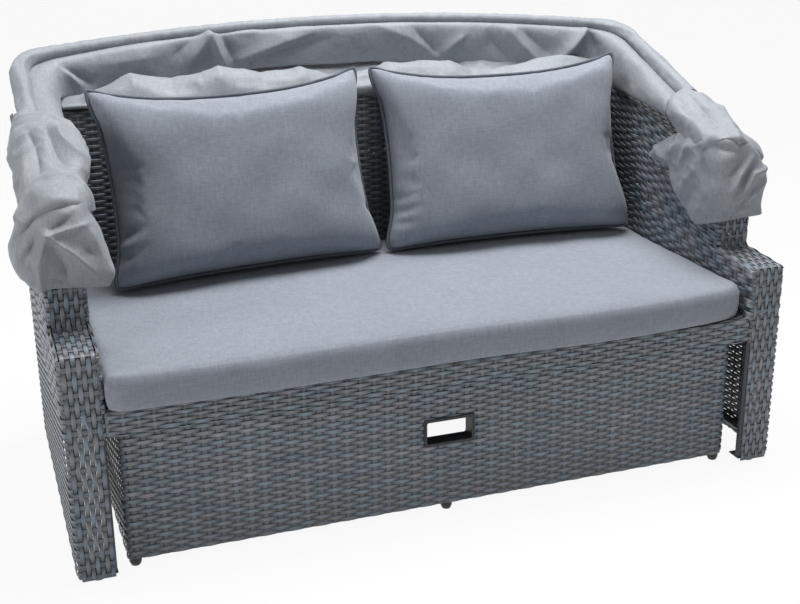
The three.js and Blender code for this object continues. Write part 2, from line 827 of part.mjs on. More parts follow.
// The tube's ends are pressed flat and drilled for the pivot bolt
function bow(index) {
  const halfSpan = bowSpan(index);
  const line = bowLine(halfSpan).map((point) => onBow(point, bowAngle(index)));
  const pieces = [sweep(line, roundSection(bowTube / 2, tubeSides))];
  const holes = [];
  for (const sign of [-1, 1]) {
    const low = at(sign * halfSpan - tabThickness / 2, -tabWidth / 2, -tabWidth / 2);
    const high = at(sign * halfSpan + tabThickness / 2, tabLength, tabWidth / 2);
    const tab = block(low, high);
    tab.rotateX(radians(bowAngle(index)));
    tab.translate(0, pivotSetback, pivotHeight);
    pieces.push(tab);
    const holeDiameter = pivotBoltDiameter + 2 * pivotHoleClearance;
    const from = at(sign * halfSpan - tabThickness, pivotSetback, pivotHeight);
    holes.push(rod(from, at(sign * halfSpan + tabThickness, pivotSetback, pivotHeight), holeDiameter));
  }
  return joined(pieces, holes);
}

bowNames.forEach((name, index) => add(`canopy_${name}`, bow(index), materials.steel));

// Canopy brackets: a foot on the arm's sloping top and two ears that hold the pivot bolt

const earOuter = bowSpan(0) + tabThickness / 2 + bowTube / 2;
const earInner = bowSpan(bowNames.length - 1) - tabThickness / 2 - bowTube / 2;
const pivotAt = (across) => at(across, pivotSetback, pivotHeight);

function bracket() {
  const slope = Math.atan(armSlope);
  const lift = (pivotHeight - armTopAtPivot) * Math.cos(slope);
  const foot = block(
    at(earInner, -earWidth / 2, gap),
    at(earOuter + earThickness, earWidth / 2, bracketFootThickness),
  );
  const pieces = [foot];
  for (const across of [earInner, earOuter]) {
    pieces.push(block(at(across, -earWidth / 2, gap), at(across + earThickness, earWidth / 2, lift)));
    pieces.push(rod(at(across, 0, lift), at(across + earThickness, 0, lift), earWidth, 2 * tubeSides));
  }
  const holeDiameter = pivotBoltDiameter + 2 * pivotHoleClearance;
  const holeEnd = earOuter + earThickness + overrun;
  const hole = rod(at(earInner - overrun, 0, lift), at(holeEnd, 0, lift), holeDiameter);
  const geometry = joined(pieces, [hole]);
  geometry.rotateX(slope);
  const footing = at(0, pivotSetback, pivotHeight).sub(at(0, 0, lift).applyAxisAngle(at(1, 0, 0), slope));
  geometry.translate(0, footing.y, footing.z);
  return geometry;
}

function pivotBolt() {
  const start = earInner - gap - pivotHeadLength;
  const end = earOuter + earThickness + gap + pivotHeadLength;
  const shank = rod(pivotAt(start), pivotAt(end), pivotBoltDiameter);
  const head = rod(pivotAt(end - pivotHeadLength), pivotAt(end), pivotHeadDiameter);
  const nut = rod(pivotAt(start), pivotAt(start + pivotHeadLength), pivotHeadDiameter, nutSides);
  return joined([shank, head, nut]);
}

// A plastic spacer sits on the bolt between two bow ends
function spacer(index) {
  const from = bowSpan(index + 1) + tabThickness / 2 + gap;
  const to = bowSpan(index) - tabThickness / 2 - gap;
  const body = rod(pivotAt(from), pivotAt(to), spacerTubeDiameter, 2 * tubeSides);
  const holeDiameter = pivotBoltDiameter + 2 * pivotHoleClearance;
  return joined([body], [rod(pivotAt(from - overrun), pivotAt(to + overrun), holeDiameter)]);
}

addPair('canopy_bracket', bracket(), materials.steel);
addPair('canopy_pivot_bolt', pivotBolt(), materials.zinc);
addPair('outer_pivot_spacer', spacer(0), materials.plastic);
addPair('inner_pivot_spacer', spacer(1), materials.plastic);

// Soft goods

// A closed sheet from a grid of places: rows of points on its face and the same rows on its back
function sheet(rows, across, place, thickness) {
  const positions = [];
  const index = [];
  const layer = (rows + 1) * (across + 1);
  const node = (side, row, column) => side * layer + row * (across + 1) + column;
  for (const side of [0, 1]) {
    for (let row = 0; row <= rows; row += 1) {
      for (let column = 0; column <= across; column += 1) {
        const point = place(row / rows, column / across, side * thickness);
        positions.push(point.x, point.y, point.z);
      }
    }
  }
  const quad = (a, b, c, d) => index.push(a, b, c, a, c, d);
  for (let row = 0; row < rows; row += 1) {
    for (let column = 0; column < across; column += 1) {
      const corners = [[row, column], [row, column + 1], [row + 1, column + 1], [row + 1, column]];
      quad(...corners.map(([r, c]) => node(0, r, c)));
      quad(...corners.map(([r, c]) => node(1, r, c)).reverse());
    }
    quad(node(0, row, 0), node(0, row + 1, 0), node(1, row + 1, 0), node(1, row, 0));
    quad(node(0, row + 1, across), node(0, row, across), node(1, row, across), node(1, row + 1, across));
  }
  for (let column = 0; column < across; column += 1) {
    quad(node(0, 0, column + 1), node(0, 0, column), node(1, 0, column), node(1, 0, column + 1));
    quad(node(0, rows, column), node(0, rows, column + 1), node(1, rows, column + 1), node(1, rows, column));
  }
  const geometry = new THREE.BufferGeometry();
  geometry.setAttribute('position', new THREE.Float32BufferAttribute(positions, 3));
  geometry.setIndex(index);
  return closedSkin(geometry);
}

// A place along a list of points, by its share of the whole length
function alongLine(points, share) {
  const lengths = [0];
  for (let index = 1; index < points.length; index += 1) {
    lengths.push(lengths[index - 1] + points[index].distanceTo(points[index - 1]));
  }
  const wanted = share * lengths[lengths.length - 1];
  let index = 1;
  while (index < points.length - 1 && lengths[index] < wanted) index += 1;
  const part = (wanted - lengths[index - 1]) / (lengths[index] - lengths[index - 1]);
  return points[index - 1].clone().lerp(points[index], part);
}

// A bow's line from one end of the cloth to the other
function clothLine(halfSpan) {
  const line = bowLine(halfSpan);
  line[0] = flat(halfSpan, sleeveStart);
  line[line.length - 1] = flat(-halfSpan, sleeveStart);
  return line;
}

// A line in a bow's plane, moved towards the inside of the hoop
function drawnIn(line, distance) {
  return line.map((point, index) => {
    const last = line.length - 1;
    const before = new THREE.Vector2().subVectors(point, line[Math.max(index - 1, 0)]).normalize();
    const after = new THREE.Vector2().subVectors(line[Math.min(index + 1, last)], point).normalize();
    const along = new THREE.Vector2().addVectors(before, after).normalize();
    const spread = Math.max(along.dot(before), along.dot(after));
    return point.clone().addScaledVector(flat(-along.y, along.x), distance / spread);
  });
}

// One on the arch of a bow and zero on its legs
function archShareAt(point, halfSpan) {
  return 1 - Math.min(Math.abs(point.x) / halfSpan, 1) ** archSpreadPower;
}

// The front bow's sleeve
const sleeveRadius = bowTube / 2 + gap + sleeveWall;

function frontSleeve() {
  const line = clothLine(bowSpan(0)).map((point) => onBow(point, bowAngle(0)));
  const section = roundSection(sleeveRadius, tubeSides);
  section.holes.push(new THREE.Path(circle(0, 0, bowTube / 2 + 2 * gap, tubeSides).reverse()));
  return sweep(line, section);
}

// How far the cloth hangs below a bow: less towards the ends of its legs
function hang(point, endDrop, drop) {
  const legEnd = bowLegLength - bowBendRadius;
  const share = THREE.MathUtils.clamp((point.y - sleeveStart) / (legEnd - sleeveStart), 0, 1);
  return endDrop + (drop - endDrop) * share;
}

const rearSheetHalf = armInner - rearSheetSetIn;

// The front panel falls from the sleeve over the lower bows' legs and hangs inside them
function frontCurtain() {
  const lowestBow = bowSpan(bowNames.length - 1);
  const acrossFlats = sleeveRadius * Math.cos(Math.PI / tubeSides);
  const startLine = drawnIn(clothLine(bowSpan(0)), acrossFlats + gap);
  const endLine = drawnIn(clothLine(lowestBow), bowTube / 2 + curtainClearance);
  const place = (rowShare, columnShare, depth) => {
    const start = alongLine(startLine, columnShare);
    const end = alongLine(endLine, columnShare);
    const arch = archShareAt(end, lowestBow);
    const top = onBow(start, bowAngle(0));
    const bottom = onBow(end, bowAngle(0));
    const overBack = bottom.y > backFront - curtainLead;
    const overPanel = overBack && Math.abs(bottom.x) < rearSheetHalf + curtainLead / 2;
    const lowest = backHeight + 2 * clothThickness + (overPanel ? rearSheetRise + clothThickness : 0);
    const fullDrop = hang(end, frontCurtainEndDrop, frontCurtainDrop);
    const drop = overBack ? Math.min(fullDrop, bottom.z - lowest) : fullDrop;
    const angle = (rowShare * Math.PI) / 2;
    const inwardShare = Math.sin(angle) ** curtainCurvePower;
    const downShare = 1 - Math.cos(angle) ** curtainCurvePower;
    const fold = frontCurtainFold * arch * rowShare * Math.cos(2 * Math.PI * curtainFolds * columnShare);
    const point = top.clone().lerp(bottom, inwardShare);
    point.z -= downShare * drop;
    point.y -= fold + depth * arch;
    point.x -= Math.sign(end.x) * depth * (1 - arch);
    return point;
  };
  return sheet(curtainRows, clothColumns, place, clothThickness);
}

// The middle panel hangs below the middle bow
function middleCurtain() {
  const line = clothLine(bowSpan(1));
  const place = (rowShare, columnShare, depth) => {
    const along = alongLine(line, columnShare);
    const arch = archShareAt(along, bowSpan(1));
    const point = onBow(along, bowAngle(1));
    const inBendAcross = Math.abs(along.x) > bowSpan(1) - 2 * bowBendRadius;
    const inBend = along.y > bowLegLength - 2 * bowBendRadius && inBendAcross;
    const drop = inBend ? middleCurtainBendDrop : hang(along, middleCurtainEndDrop, middleCurtainDrop);
    const wave = Math.cos(2 * Math.PI * curtainFolds * columnShare);
    const top = bowTube / 2 + gap;
    point.z -= top + rowShare * (drop - top);
    point.y -= ((middleCurtainSetIn + middleCurtainFold * wave) * rowShare + depth) * arch;
    point.x -= Math.sign(along.x) * depth * (1 - arch);
    return point;
  };
  return sheet(curtainRows / 2, clothColumns, place, clothThickness);
}

// The rear panel comes forward from under the rear bow, over the back, to a hem on its front
function rearCurtain() {
  const lowest = bowNames.length - 1;
  const inside = clothLine(bowSpan(lowest)).filter((point) => Math.abs(point.x) < rearSheetHalf);
  const hemFace = backFront - gap;
  const top = backHeight + 2 * clothThickness;
  const place = (rowShare, columnShare, depth) => {
    const along = alongLine(inside, columnShare);
    const start = onBow(along, bowAngle(lowest));
    const middleHeight = Math.min(start.z - rearSheetRise, top + rearSheetRise);
    const path = [
      at(along.x, start.y, start.z - bowTube / 2 - clothThickness - gap),
      at(along.x, start.y - (start.y - backFront) / 3, middleHeight),
      at(along.x, backFront + backThickness / 3, top + rearSheetRise / 2),
      at(along.x, hemFace, top),
      at(along.x, hemFace, backHeight - rearSheetHem),
    ];
    const point = new THREE.CatmullRomCurve3(path).getPoint(rowShare);
    const hemShare = (path.length - 2) / (path.length - 1);
    if (rowShare > hemShare) return point.add(at(0, -depth, 0));
    const wave = Math.cos(2 * Math.PI * rearSheetFolds * columnShare);
    return point.add(at(0, 0, depth + rearSheetFold * Math.sin(Math.PI * rowShare) * wave));
  };
  return sheet(rearSheetRows, rearSheetColumns, place, clothThickness);
}

// The cloth gathered over an arm end covers the bows' legs and the bracket and hangs down in front
function endDrape() {
  const centre = (armInner - drapeInnerSetout + halfWidth + drapeOuterSetout) / 2;
  const half = halfWidth + drapeOuterSetout - centre;
  const front = stepDepth - drapeFrontSetout;
  const pinch = onBow(flat(0, sleeveStart - gap), bowAngle(0), bowTube / 2 + gap);
  const shoulder = onBow(flat(0, 0), bowAngle(0), drapeOverPivot);
  const corner = at(0, front, shoulder.z);
  const path = bentKnots([pinch, shoulder, corner, at(0, front, drapeBottom)], drapeBend);
  const line = path.map((point) => flat(point.y, point.z));
  const place = (rowShare, columnShare, depth) => {
    const here = alongLine(line, rowShare);
    const before = alongLine(line, Math.max(rowShare - 1 / drapeRows, 0));
    const after = alongLine(line, Math.min(rowShare + 1 / drapeRows, 1));
    const along = after.sub(before).normalize();
    const outward = flat(along.y, -along.x);
    const sidePlace = rowShare * (drapeSideShares.length - 1);
    const sideIndex = Math.min(Math.floor(sidePlace), drapeSideShares.length - 2);
    const [sideBefore, sideAfter] = drapeSideShares.slice(sideIndex, sideIndex + 2);
    const side = drapeSideDepth * THREE.MathUtils.lerp(sideBefore, sideAfter, sidePlace - sideIndex);
    const turn = Math.PI * columnShare;
    const acrossShare = Math.sign(Math.cos(turn)) * Math.abs(Math.cos(turn)) ** drapeRoundPower;
    const upShare = Math.sin(turn) ** drapeRoundPower;
    const swing = Math.sin(Math.PI * rowShare) * (1 - Math.cos(2 * Math.PI * drapeFolds * columnShare));
    const out = depth + (drapeFold * swing) / 2;
    const downBy = side * (1 - upShare) - out * upShare;
    return at(centre + (half + out) * acrossShare, here.x - outward.x * downBy, here.y - outward.y * downBy);
  };
  return sheet(drapeRows, drapeColumns, place, clothThickness);
}

add('canopy_front_sleeve', frontSleeve(), materials.canopy);
add('canopy_front_panel', frontCurtain(), materials.canopy);
add('canopy_middle_panel', middleCurtain(), materials.canopy);
add('canopy_rear_panel', rearCurtain(), materials.canopy);
addPair('canopy_end_drape', endDrape(), materials.canopy);

// The seat cushion has a crowned top, a flat underside and sides drawn in between its corners
const cushionBottom = seatHeight + gap;
const cushionHalfWide = armInner - 2 * gap;
const cushionHalfDeep = (backFront - 2 * gap + cushionOverhang) / 2;
const cushionCentre = cushionHalfDeep - cushionOverhang;

function cushionCrownAt(u, v) {
  return cushionCrown * (1 - Math.abs(u) ** cushionCrownPower) * (1 - Math.abs(v) ** cushionCrownPower);
}

function seatCushion() {
  const geometry = new THREE.BoxGeometry(1, 1, 1, cushionColumns, cushionRows, cushionLevels);
  const places = geometry.attributes.position;
  for (let index = 0; index < places.count; index += 1) {
    const u = 2 * places.getX(index);
    const v = 2 * places.getY(index);
    const level = places.getZ(index) + 1 / 2;
    const roll = cushionDrawIn * (2 * level - 1) ** 4;
    const corner = cushionRadius * (1 - Math.SQRT1_2) * Math.abs(u * v) ** cushionCornerPower;
    const x = u * (cushionHalfWide - roll - corner - cushionDrawIn * (1 - v * v));
    const y = v * (cushionHalfDeep - roll - corner - cushionDrawIn * (1 - u * u));
    const crown = 2 * level > 1 ? cushionCrownAt(u, v) : 0;
    places.setXYZ(index, x, cushionCentre + y, cushionBottom + level * (cushionThickness + crown));
  }
  return closedSkin(geometry);
}

// A pillow is two crowned faces that meet at one seam, with its sides drawn in between its ears
const pillowWidth = armInner - pillowSideRoom;

function pillow(across, turn) {
  const place = (rowShare, columnShare, rearward) => {
    const u = 2 * columnShare - 1;
    const v = 2 * rowShare - 1;
    const sag = v > 0 ? pillowTopSag : pillowBottomSag;
    const x = u * (pillowWidth / 2 - pillowSideDrawIn * (1 - v * v));
    const z = v * (pillowHeight / 2 - sag * (1 - u * u));
    const crown = (1 - Math.abs(u) ** pillowCrownPower) * (1 - Math.abs(v) ** pillowCrownPower);
    const swell = rearward ? pillowRearSwell : -pillowFrontSwell;
    return at(x, swell * crown ** pillowSwellPower, z);
  };
  const geometry = sheet(pillowRows, pillowColumns, place, 1);
  geometry.rotateX(-radians(pillowTilt));
  geometry.rotateZ(radians(turn));
  geometry.computeBoundingBox();
  geometry.translate(across, backFront - pillowRearClearance - geometry.boundingBox.max.y, 0);
  geometry.translate(0, 0, gap - pillowHeightOverCushion(geometry));
  return geometry;
}

// The least height of a shape over the cushion's crowned top
function pillowHeightOverCushion(geometry) {
  const places = geometry.attributes.position;
  const heights = [];
  for (let index = 0; index < places.count; index += 1) {
    const u = THREE.MathUtils.clamp(places.getX(index) / cushionHalfWide, -1, 1);
    const v = THREE.MathUtils.clamp((places.getY(index) - cushionCentre) / cushionHalfDeep, -1, 1);
    heights.push(places.getZ(index) - cushionBottom - cushionThickness - cushionCrownAt(u, v));
  }
  return Math.min(...heights);
}

add('seat_cushion', seatCushion(), materials.cushion);
add('left_pillow', pillow(leftPillowShift - armInner / 2, leftPillowTurn), materials.cushion);
add('right_pillow', pillow(rightPillowShift + armInner / 2, rightPillowTurn), materials.cushion);

// The origin goes to the middle of the base
const whole = new THREE.Box3().setFromObject(sofa);
sofa.position.set(-(whole.min.x + whole.max.x) / 2, -(whole.min.y + whole.max.y) / 2, -whole.min.z);

export default sofa;
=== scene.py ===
import math
import random

import bpy
import numpy as np
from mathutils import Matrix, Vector, noise


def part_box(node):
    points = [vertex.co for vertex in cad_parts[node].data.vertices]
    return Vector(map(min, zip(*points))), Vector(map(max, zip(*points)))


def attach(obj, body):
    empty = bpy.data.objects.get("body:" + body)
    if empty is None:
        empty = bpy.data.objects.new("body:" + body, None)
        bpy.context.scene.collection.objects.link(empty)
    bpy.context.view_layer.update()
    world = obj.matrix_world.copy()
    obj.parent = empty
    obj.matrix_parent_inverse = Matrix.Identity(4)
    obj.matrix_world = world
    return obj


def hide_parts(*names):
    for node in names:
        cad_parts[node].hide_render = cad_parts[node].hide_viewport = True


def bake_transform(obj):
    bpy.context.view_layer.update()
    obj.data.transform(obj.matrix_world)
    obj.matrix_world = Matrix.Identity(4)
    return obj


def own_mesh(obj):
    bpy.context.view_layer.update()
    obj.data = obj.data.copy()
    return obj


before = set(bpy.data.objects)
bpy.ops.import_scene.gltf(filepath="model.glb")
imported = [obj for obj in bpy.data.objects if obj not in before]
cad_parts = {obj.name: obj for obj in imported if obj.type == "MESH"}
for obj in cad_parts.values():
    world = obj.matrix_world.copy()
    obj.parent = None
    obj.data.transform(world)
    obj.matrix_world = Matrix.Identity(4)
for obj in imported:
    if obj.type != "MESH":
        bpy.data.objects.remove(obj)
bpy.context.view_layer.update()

# Places on the sofa are (across, depth from the front, height) in metres
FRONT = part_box("right_arm_edge_weave")[0].y
HALF_WIDTH = 0.75
ARM_INNER = 0.67
BODY_DEPTH = 0.72
BACK_FRONT = 0.64
BACK_TOP = 0.768
STEP_HEIGHT = 0.451
STEP_DEPTH = 0.137
STEP_RISE = 0.011
ARM_FRONT_TOP = 0.618
ARM_REAR_TOP = 0.76
ARM_FOOT = 0.012
APRON_BOTTOM = 0.2855
SEAT_TOP = 0.342
STOOL_HALF = 0.653
STOOL_FRONT = 0.031
STOOL_REAR = 0.631
STOOL_BOTTOM = 0.018
STOOL_TOP = 0.28
WEAVE_HALF = 0.002
ARM_SLOPE = (ARM_REAR_TOP - ARM_FRONT_TOP) / (BODY_DEPTH - STEP_DEPTH)


def at(across, depth, height):
    return np.array([across, FRONT + depth, height])


def lengths_along(line):
    """How far along a line each of its points is."""
    return np.concatenate([[0.0], np.cumsum(np.linalg.norm(np.diff(line, axis=0), axis=1))])


def at_lengths(wanted, lengths, values):
    """What a line's points carry, such as their places, read off at other lengths."""
    return np.stack([np.interp(wanted, lengths, column) for column in np.asarray(values).T], axis=-1)


def even_steps(line, count):
    lengths = lengths_along(line)
    return at_lengths(np.linspace(0.0, lengths[-1], count), lengths, line)


def noise_along(lengths, second, third):
    """Smooth random values along a line; another second or third number gives other ones."""
    return np.array([noise.noise(Vector((length, second, third))) for length in lengths])


def noise_over(places):
    return np.array([noise.noise(Vector(place)) for place in places])


# Materials

MM = 0.001


def linear(code):
    """A colour written as a screen hex code, as the renderer needs it."""
    shares = [int(code[i:i + 2], 16) / 255 for i in (1, 3, 5)]
    return tuple(s / 12.92 if s <= 0.04045 else ((s + 0.055) / 1.055) ** 2.4 for s in shares) + (1.0,)


def node(tree, kind, inputs=None, **settings):
    """Adds a node; an input given as a socket is linked, any other value is set."""
    made = tree.nodes.new(kind)
    for key, value in settings.items():
        setattr(made, key, value)
    for key, value in (inputs or {}).items():
        if isinstance(value, bpy.types.NodeSocket):
            tree.links.new(value, made.inputs[key])
        else:
            made.inputs[key].default_value = value
    return made


def ramp(tree, factor, stops):
    made = node(tree, "ShaderNodeValToRGB", {"Fac": factor})
    elements = made.color_ramp.elements
    while len(elements) < len(stops):
        elements.new(0.5)
    for element, (place, colour) in zip(elements, stops):
        element.position = place
        element.color = linear(colour)
    return made.outputs["Color"]


def material(name, shader_inputs, paint):
    """A material with one Principled shader; paint(tree) returns more inputs for it."""
    made = bpy.data.materials.new(name)
    made.use_nodes = True
    tree = made.node_tree
    tree.nodes.clear()
    inputs = dict(shader_inputs)
    inputs.update(paint(tree))
    shader = node(tree, "ShaderNodeBsdfPrincipled", inputs)
    node(tree, "ShaderNodeOutputMaterial", {"Surface": shader.outputs["BSDF"]})
    return made


def maths(tree, operation, *values):
    return node(tree, "ShaderNodeMath", dict(enumerate(values)), operation=operation).outputs[0]


def mottle(tree, place, size_mm, detail):
    """A soft random pattern with patches of about the given size."""
    inputs = {"Vector": place, "Scale": 0.5 / (size_mm * MM), "Detail": detail}
    return node(tree, "ShaderNodeTexNoise", inputs).outputs["Fac"]


def raised(tree, height, strength, depth_mm):
    inputs = {"Height": height, "Strength": strength, "Distance": depth_mm * MM}
    return node(tree, "ShaderNodeBump", inputs).outputs["Normal"]


def strand_paint(tree):
    place = node(tree, "ShaderNodeTexCoord").outputs["Object"]
    crest = node(tree, "ShaderNodeAttribute", attribute_name="crest").outputs["Fac"]
    tone = node(tree, "ShaderNodeAttribute", attribute_name="tone").outputs["Fac"]
    patch = maths(tree, "MULTIPLY", mottle(tree, place, 45, 3.0), 0.62)
    colour = ramp(tree, maths(tree, "MULTIPLY_ADD", tone, 0.38, patch), [
        (0.0, "#4a4f57"), (0.3, "#5d6670"), (0.45, "#6a6b6d"), (0.55, "#66727c"), (0.68, "#6f6e75"),
        (1.0, "#8a929b")])
    # Painted light and shade: the colour is lightened on the strand's outward crests and darkened in its
    # hollows, standing in for the weave's relief
    painted_relief_shade = node(tree, "ShaderNodeMapRange", {"Value": crest, "From Min": -1.0, "From Max": 1.0,
                                              "To Min": 0.43, "To Max": 1.76})
    shaded = node(tree, "ShaderNodeMix", {"Factor": 1.0, 6: colour, 7: painted_relief_shade.outputs[0]},
                  data_type="RGBA", blend_type="MULTIPLY")
    grain = mottle(tree, place, 1.2, 2.0)
    rough = node(tree, "ShaderNodeMapRange", {"Value": grain, "To Min": 0.30, "To Max": 0.44})
    return {"Base Color": shaded.outputs[2], "Roughness": rough.outputs[0],
            "Normal": raised(tree, grain, 0.25, 0.3)}


# Extruded polyethylene strand, dyed in mottled slate tones: half gloss, with a painted highlight where it bows
# outwards and painted shade where it bows inwards
STRAND = material("woven_polyethylene_strand", {"IOR": 1.5}, strand_paint)


def cloth_paint(dark, light, thread_mm, heather_mm):
    """A woven cloth: crossed slubs of thread, softly varied tone and a fine raised weave."""
    def paint(tree):
        place = node(tree, "ShaderNodeTexCoord").outputs["Object"]
        slubs = []
        for stretch in [(1.0, 0.16, 0.16), (0.16, 1.0, 1.0)]:
            turned = node(tree, "ShaderNodeMapping", {"Vector": place, "Scale": stretch})
            slubs.append(mottle(tree, turned.outputs[0], heather_mm, 3.0))
        soft = mottle(tree, place, 70, 2.0)
        mixed = maths(tree, "MULTIPLY_ADD", soft, 0.35, maths(tree, "ADD", *slubs))
        share = node(tree, "ShaderNodeMapRange", {"Value": mixed, "From Min": 0.75, "From Max": 1.6})
        colour = ramp(tree, share.outputs[0], [(0.0, dark), (1.0, light)])
        return {"Base Color": colour, "Normal": raised(tree, mottle(tree, place, thread_mm, 1.0), 0.3, 0.5)}
    return paint


# Spun polyester cushion cover: heathered blue-grey, matt, with a faint bloom at grazing angles
CUSHION_CLOTH = material("heathered_polyester_cover", {"Roughness": 0.92, "Sheen Weight": 0.18},
                         cloth_paint("#7d838c", "#989ea8", 1.6, 1.5))

# Coated polyester canopy cloth: light grey, slightly shiny on the crests of its folds
CANOPY_CLOTH = material("coated_polyester_canopy_cloth", {"Roughness": 0.58, "Sheen Weight": 0.1},
                        cloth_paint("#7f848b", "#9a9fa5", 1.4, 1.5))

# The cover's own cloth wrapped round a cord, painted a shade darker to stand for the shadows along both sides
# of the cord
PAINTED_DARK_PIPING_CLOTH = material("polyester_piping_with_painted_shade", {"Roughness": 0.85}, cloth_paint("#4f545c", "#686e78", 1.2, 1.6))


def speckled(dark, light, size_mm, depth_mm):
    """A fine two-toned speckle, raised by a little."""
    def paint(tree):
        grain = mottle(tree, node(tree, "ShaderNodeTexCoord").outputs["Object"], size_mm, 3.0)
        return {"Base Color": ramp(tree, grain, [(0.3, dark), (0.7, light)]),
                "Normal": raised(tree, grain, 0.4, depth_mm)}
    return paint


# Powder-coated steel tube: dark grey with an orange-peel skin that softens its highlights
COATED_STEEL = material("powder_coated_steel", {"Roughness": 0.45, "IOR": 1.5},
                        speckled("#34373b", "#404449", 2.0, 0.2))
# Moulded polypropylene: near black, matt, finely sparked
MOULDED_PLASTIC = material("moulded_polypropylene", {"Roughness": 0.5},
                           speckled("#17181a", "#232528", 1.0, 0.1))
# Zinc-plated steel bolts: pale metal with a cloudy passivated skin
ZINC = material("zinc_plated_steel", {"Roughness": 0.34, "Metallic": 1.0},
                speckled("#a9adb1", "#c3c6c9", 3.0, 0.05))

NODE_FINISH = {"frame": COATED_STEEL, "bow": COATED_STEEL, "bracket": COATED_STEEL, "bolt": ZINC,
               "glide": MOULDED_PLASTIC, "spacer": MOULDED_PLASTIC, "liner": MOULDED_PLASTIC, "weave": STRAND}
for name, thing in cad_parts.items():
    finish = NODE_FINISH.get(name.split("_")[-1])
    if finish:
        for place in thing.material_slots:
            place.material = finish


# Meshes

CLOTH_WALL = 0.0016


def in_scene(name, data):
    """An object that holds a mesh, a lamp or a camera."""
    thing = bpy.data.objects.new(name, data)
    bpy.context.scene.collection.objects.link(thing)
    return thing


def line_mesh(name, points, edges):
    mesh = bpy.data.meshes.new(name)
    mesh.from_pydata(points, edges, [])
    return mesh


def smooth_piece(name, points, faces, finish):
    mesh = bpy.data.meshes.new(name)
    mesh.from_pydata(points.tolist(), [], faces)
    mesh.polygons.foreach_set("use_smooth", [True] * len(mesh.polygons))
    mesh.materials.append(finish)
    return in_scene(name, mesh)


def grid_faces(index, onward=True):
    """The faces between neighbours in a grid of point numbers."""
    corners = np.stack([index[:-1, :-1], index[:-1, 1:], index[1:, 1:], index[1:, :-1]], axis=-1)
    corners = corners.reshape(-1, 4)
    return (corners if onward else corners[:, ::-1]).tolist()


def grid_mesh(name, places, finish, close_across=False):
    """A smooth mesh over rows of points."""
    index = np.arange(places.shape[0] * places.shape[1]).reshape(places.shape[:2])
    if close_across:
        index = np.concatenate([index, index[:, :1]], axis=1)
    return smooth_piece(name, places.reshape(-1, 3), grid_faces(index), finish)


def apply_modifiers(thing):
    """Turns the object, modifiers and all, into a plain mesh at the origin."""
    graph = bpy.context.evaluated_depsgraph_get()
    mesh = bpy.data.meshes.new_from_object(thing.evaluated_get(graph), preserve_all_data_layers=True,
                                           depsgraph=graph)
    thing.modifiers.clear()
    thing.data = mesh
    return thing


def thicken(thing):
    made = thing.modifiers.new("cloth", "SOLIDIFY")
    made.thickness = CLOTH_WALL
    made.offset = 0.0
    return apply_modifiers(thing)


# Node groups that sweep a section along guide lines


def new_group(name, inputs, output):
    """An empty group with named inputs and one output of geometry."""
    tree = bpy.data.node_groups.new(name, "GeometryNodeTree")
    for label, kind in inputs.items():
        tree.interface.new_socket(label, in_out="INPUT", socket_type=f"NodeSocket{kind}")
    tree.interface.new_socket(output, in_out="OUTPUT", socket_type="NodeSocketGeometry")
    return tree, node(tree, "NodeGroupInput").outputs


def sweep(tree, inputs, finish, output):
    """Ends a group: the section swept along the lines, smooth and with its material."""
    swept = node(tree, "GeometryNodeCurveToMesh", {**inputs, "Fill Caps": True})
    swept = node(tree, "GeometryNodeSetShadeSmooth", {"Geometry": swept.outputs[0]})
    swept = node(tree, "GeometryNodeRealizeInstances", {"Geometry": swept.outputs[0]})
    swept = node(tree, "GeometryNodeSetMaterial", {"Geometry": swept.outputs[0], "Material": finish})
    node(tree, "NodeGroupOutput", {output: swept.outputs[0]})


def swept_piece(thing, tree, values):
    """Turns an object's guide lines into a plain mesh with a group, given the group's inputs."""
    modifier = thing.modifiers.new(tree.name, "NODES")
    modifier.node_group = tree
    for item in tree.interface.items_tree:
        if item.in_out == "INPUT" and item.name in values:
            modifier[item.identifier] = values[item.name]
    return apply_modifiers(thing)


# Woven strands

STRAND_PITCH = 0.0078
STRAND_WIDTH = 0.0078
STRAND_THICKNESS = 0.0013
STAKE_SPACING = 0.028
STAKE_WIDTH = 0.0082
STOOL_STRAND_WIDTH = 0.0088
STOOL_STAKE_WIDTH = 0.0115
WAVE_HEIGHT = 0.0014
HIDDEN_STEPS = 2
FAST_STEPS = 3
FINE_STEPS = 4
# Where stakes run straight they need few points
STOOL_STAKE_STEP = 0.13
DECK_STAKE_STEP = 0.3
ARM_STAKE_STEP = 0.2
BENT_STAKE_STEP = 0.0145
# How far strands are turned in behind the parts that cover their ends
STRAND_TUCK = 0.016

# Half a strand's width is 1 across and half its thickness 1 out: two ribs with a groove between
SECTION_OUTLINE = [(0.35, 0.0), (1.0, 0.5), (0.1, 1.0), (-0.9, 0.6), (-0.6, 0.0), (-0.9, -0.6), (0.1, -1.0),
                   (1.0, -0.5)]
SECTION = in_scene("strand_section", line_mesh(
    "strand_section", [(x, y, 0.0) for x, y in SECTION_OUTLINE],
    [(i, (i + 1) % len(SECTION_OUTLINE)) for i in range(len(SECTION_OUTLINE))]))


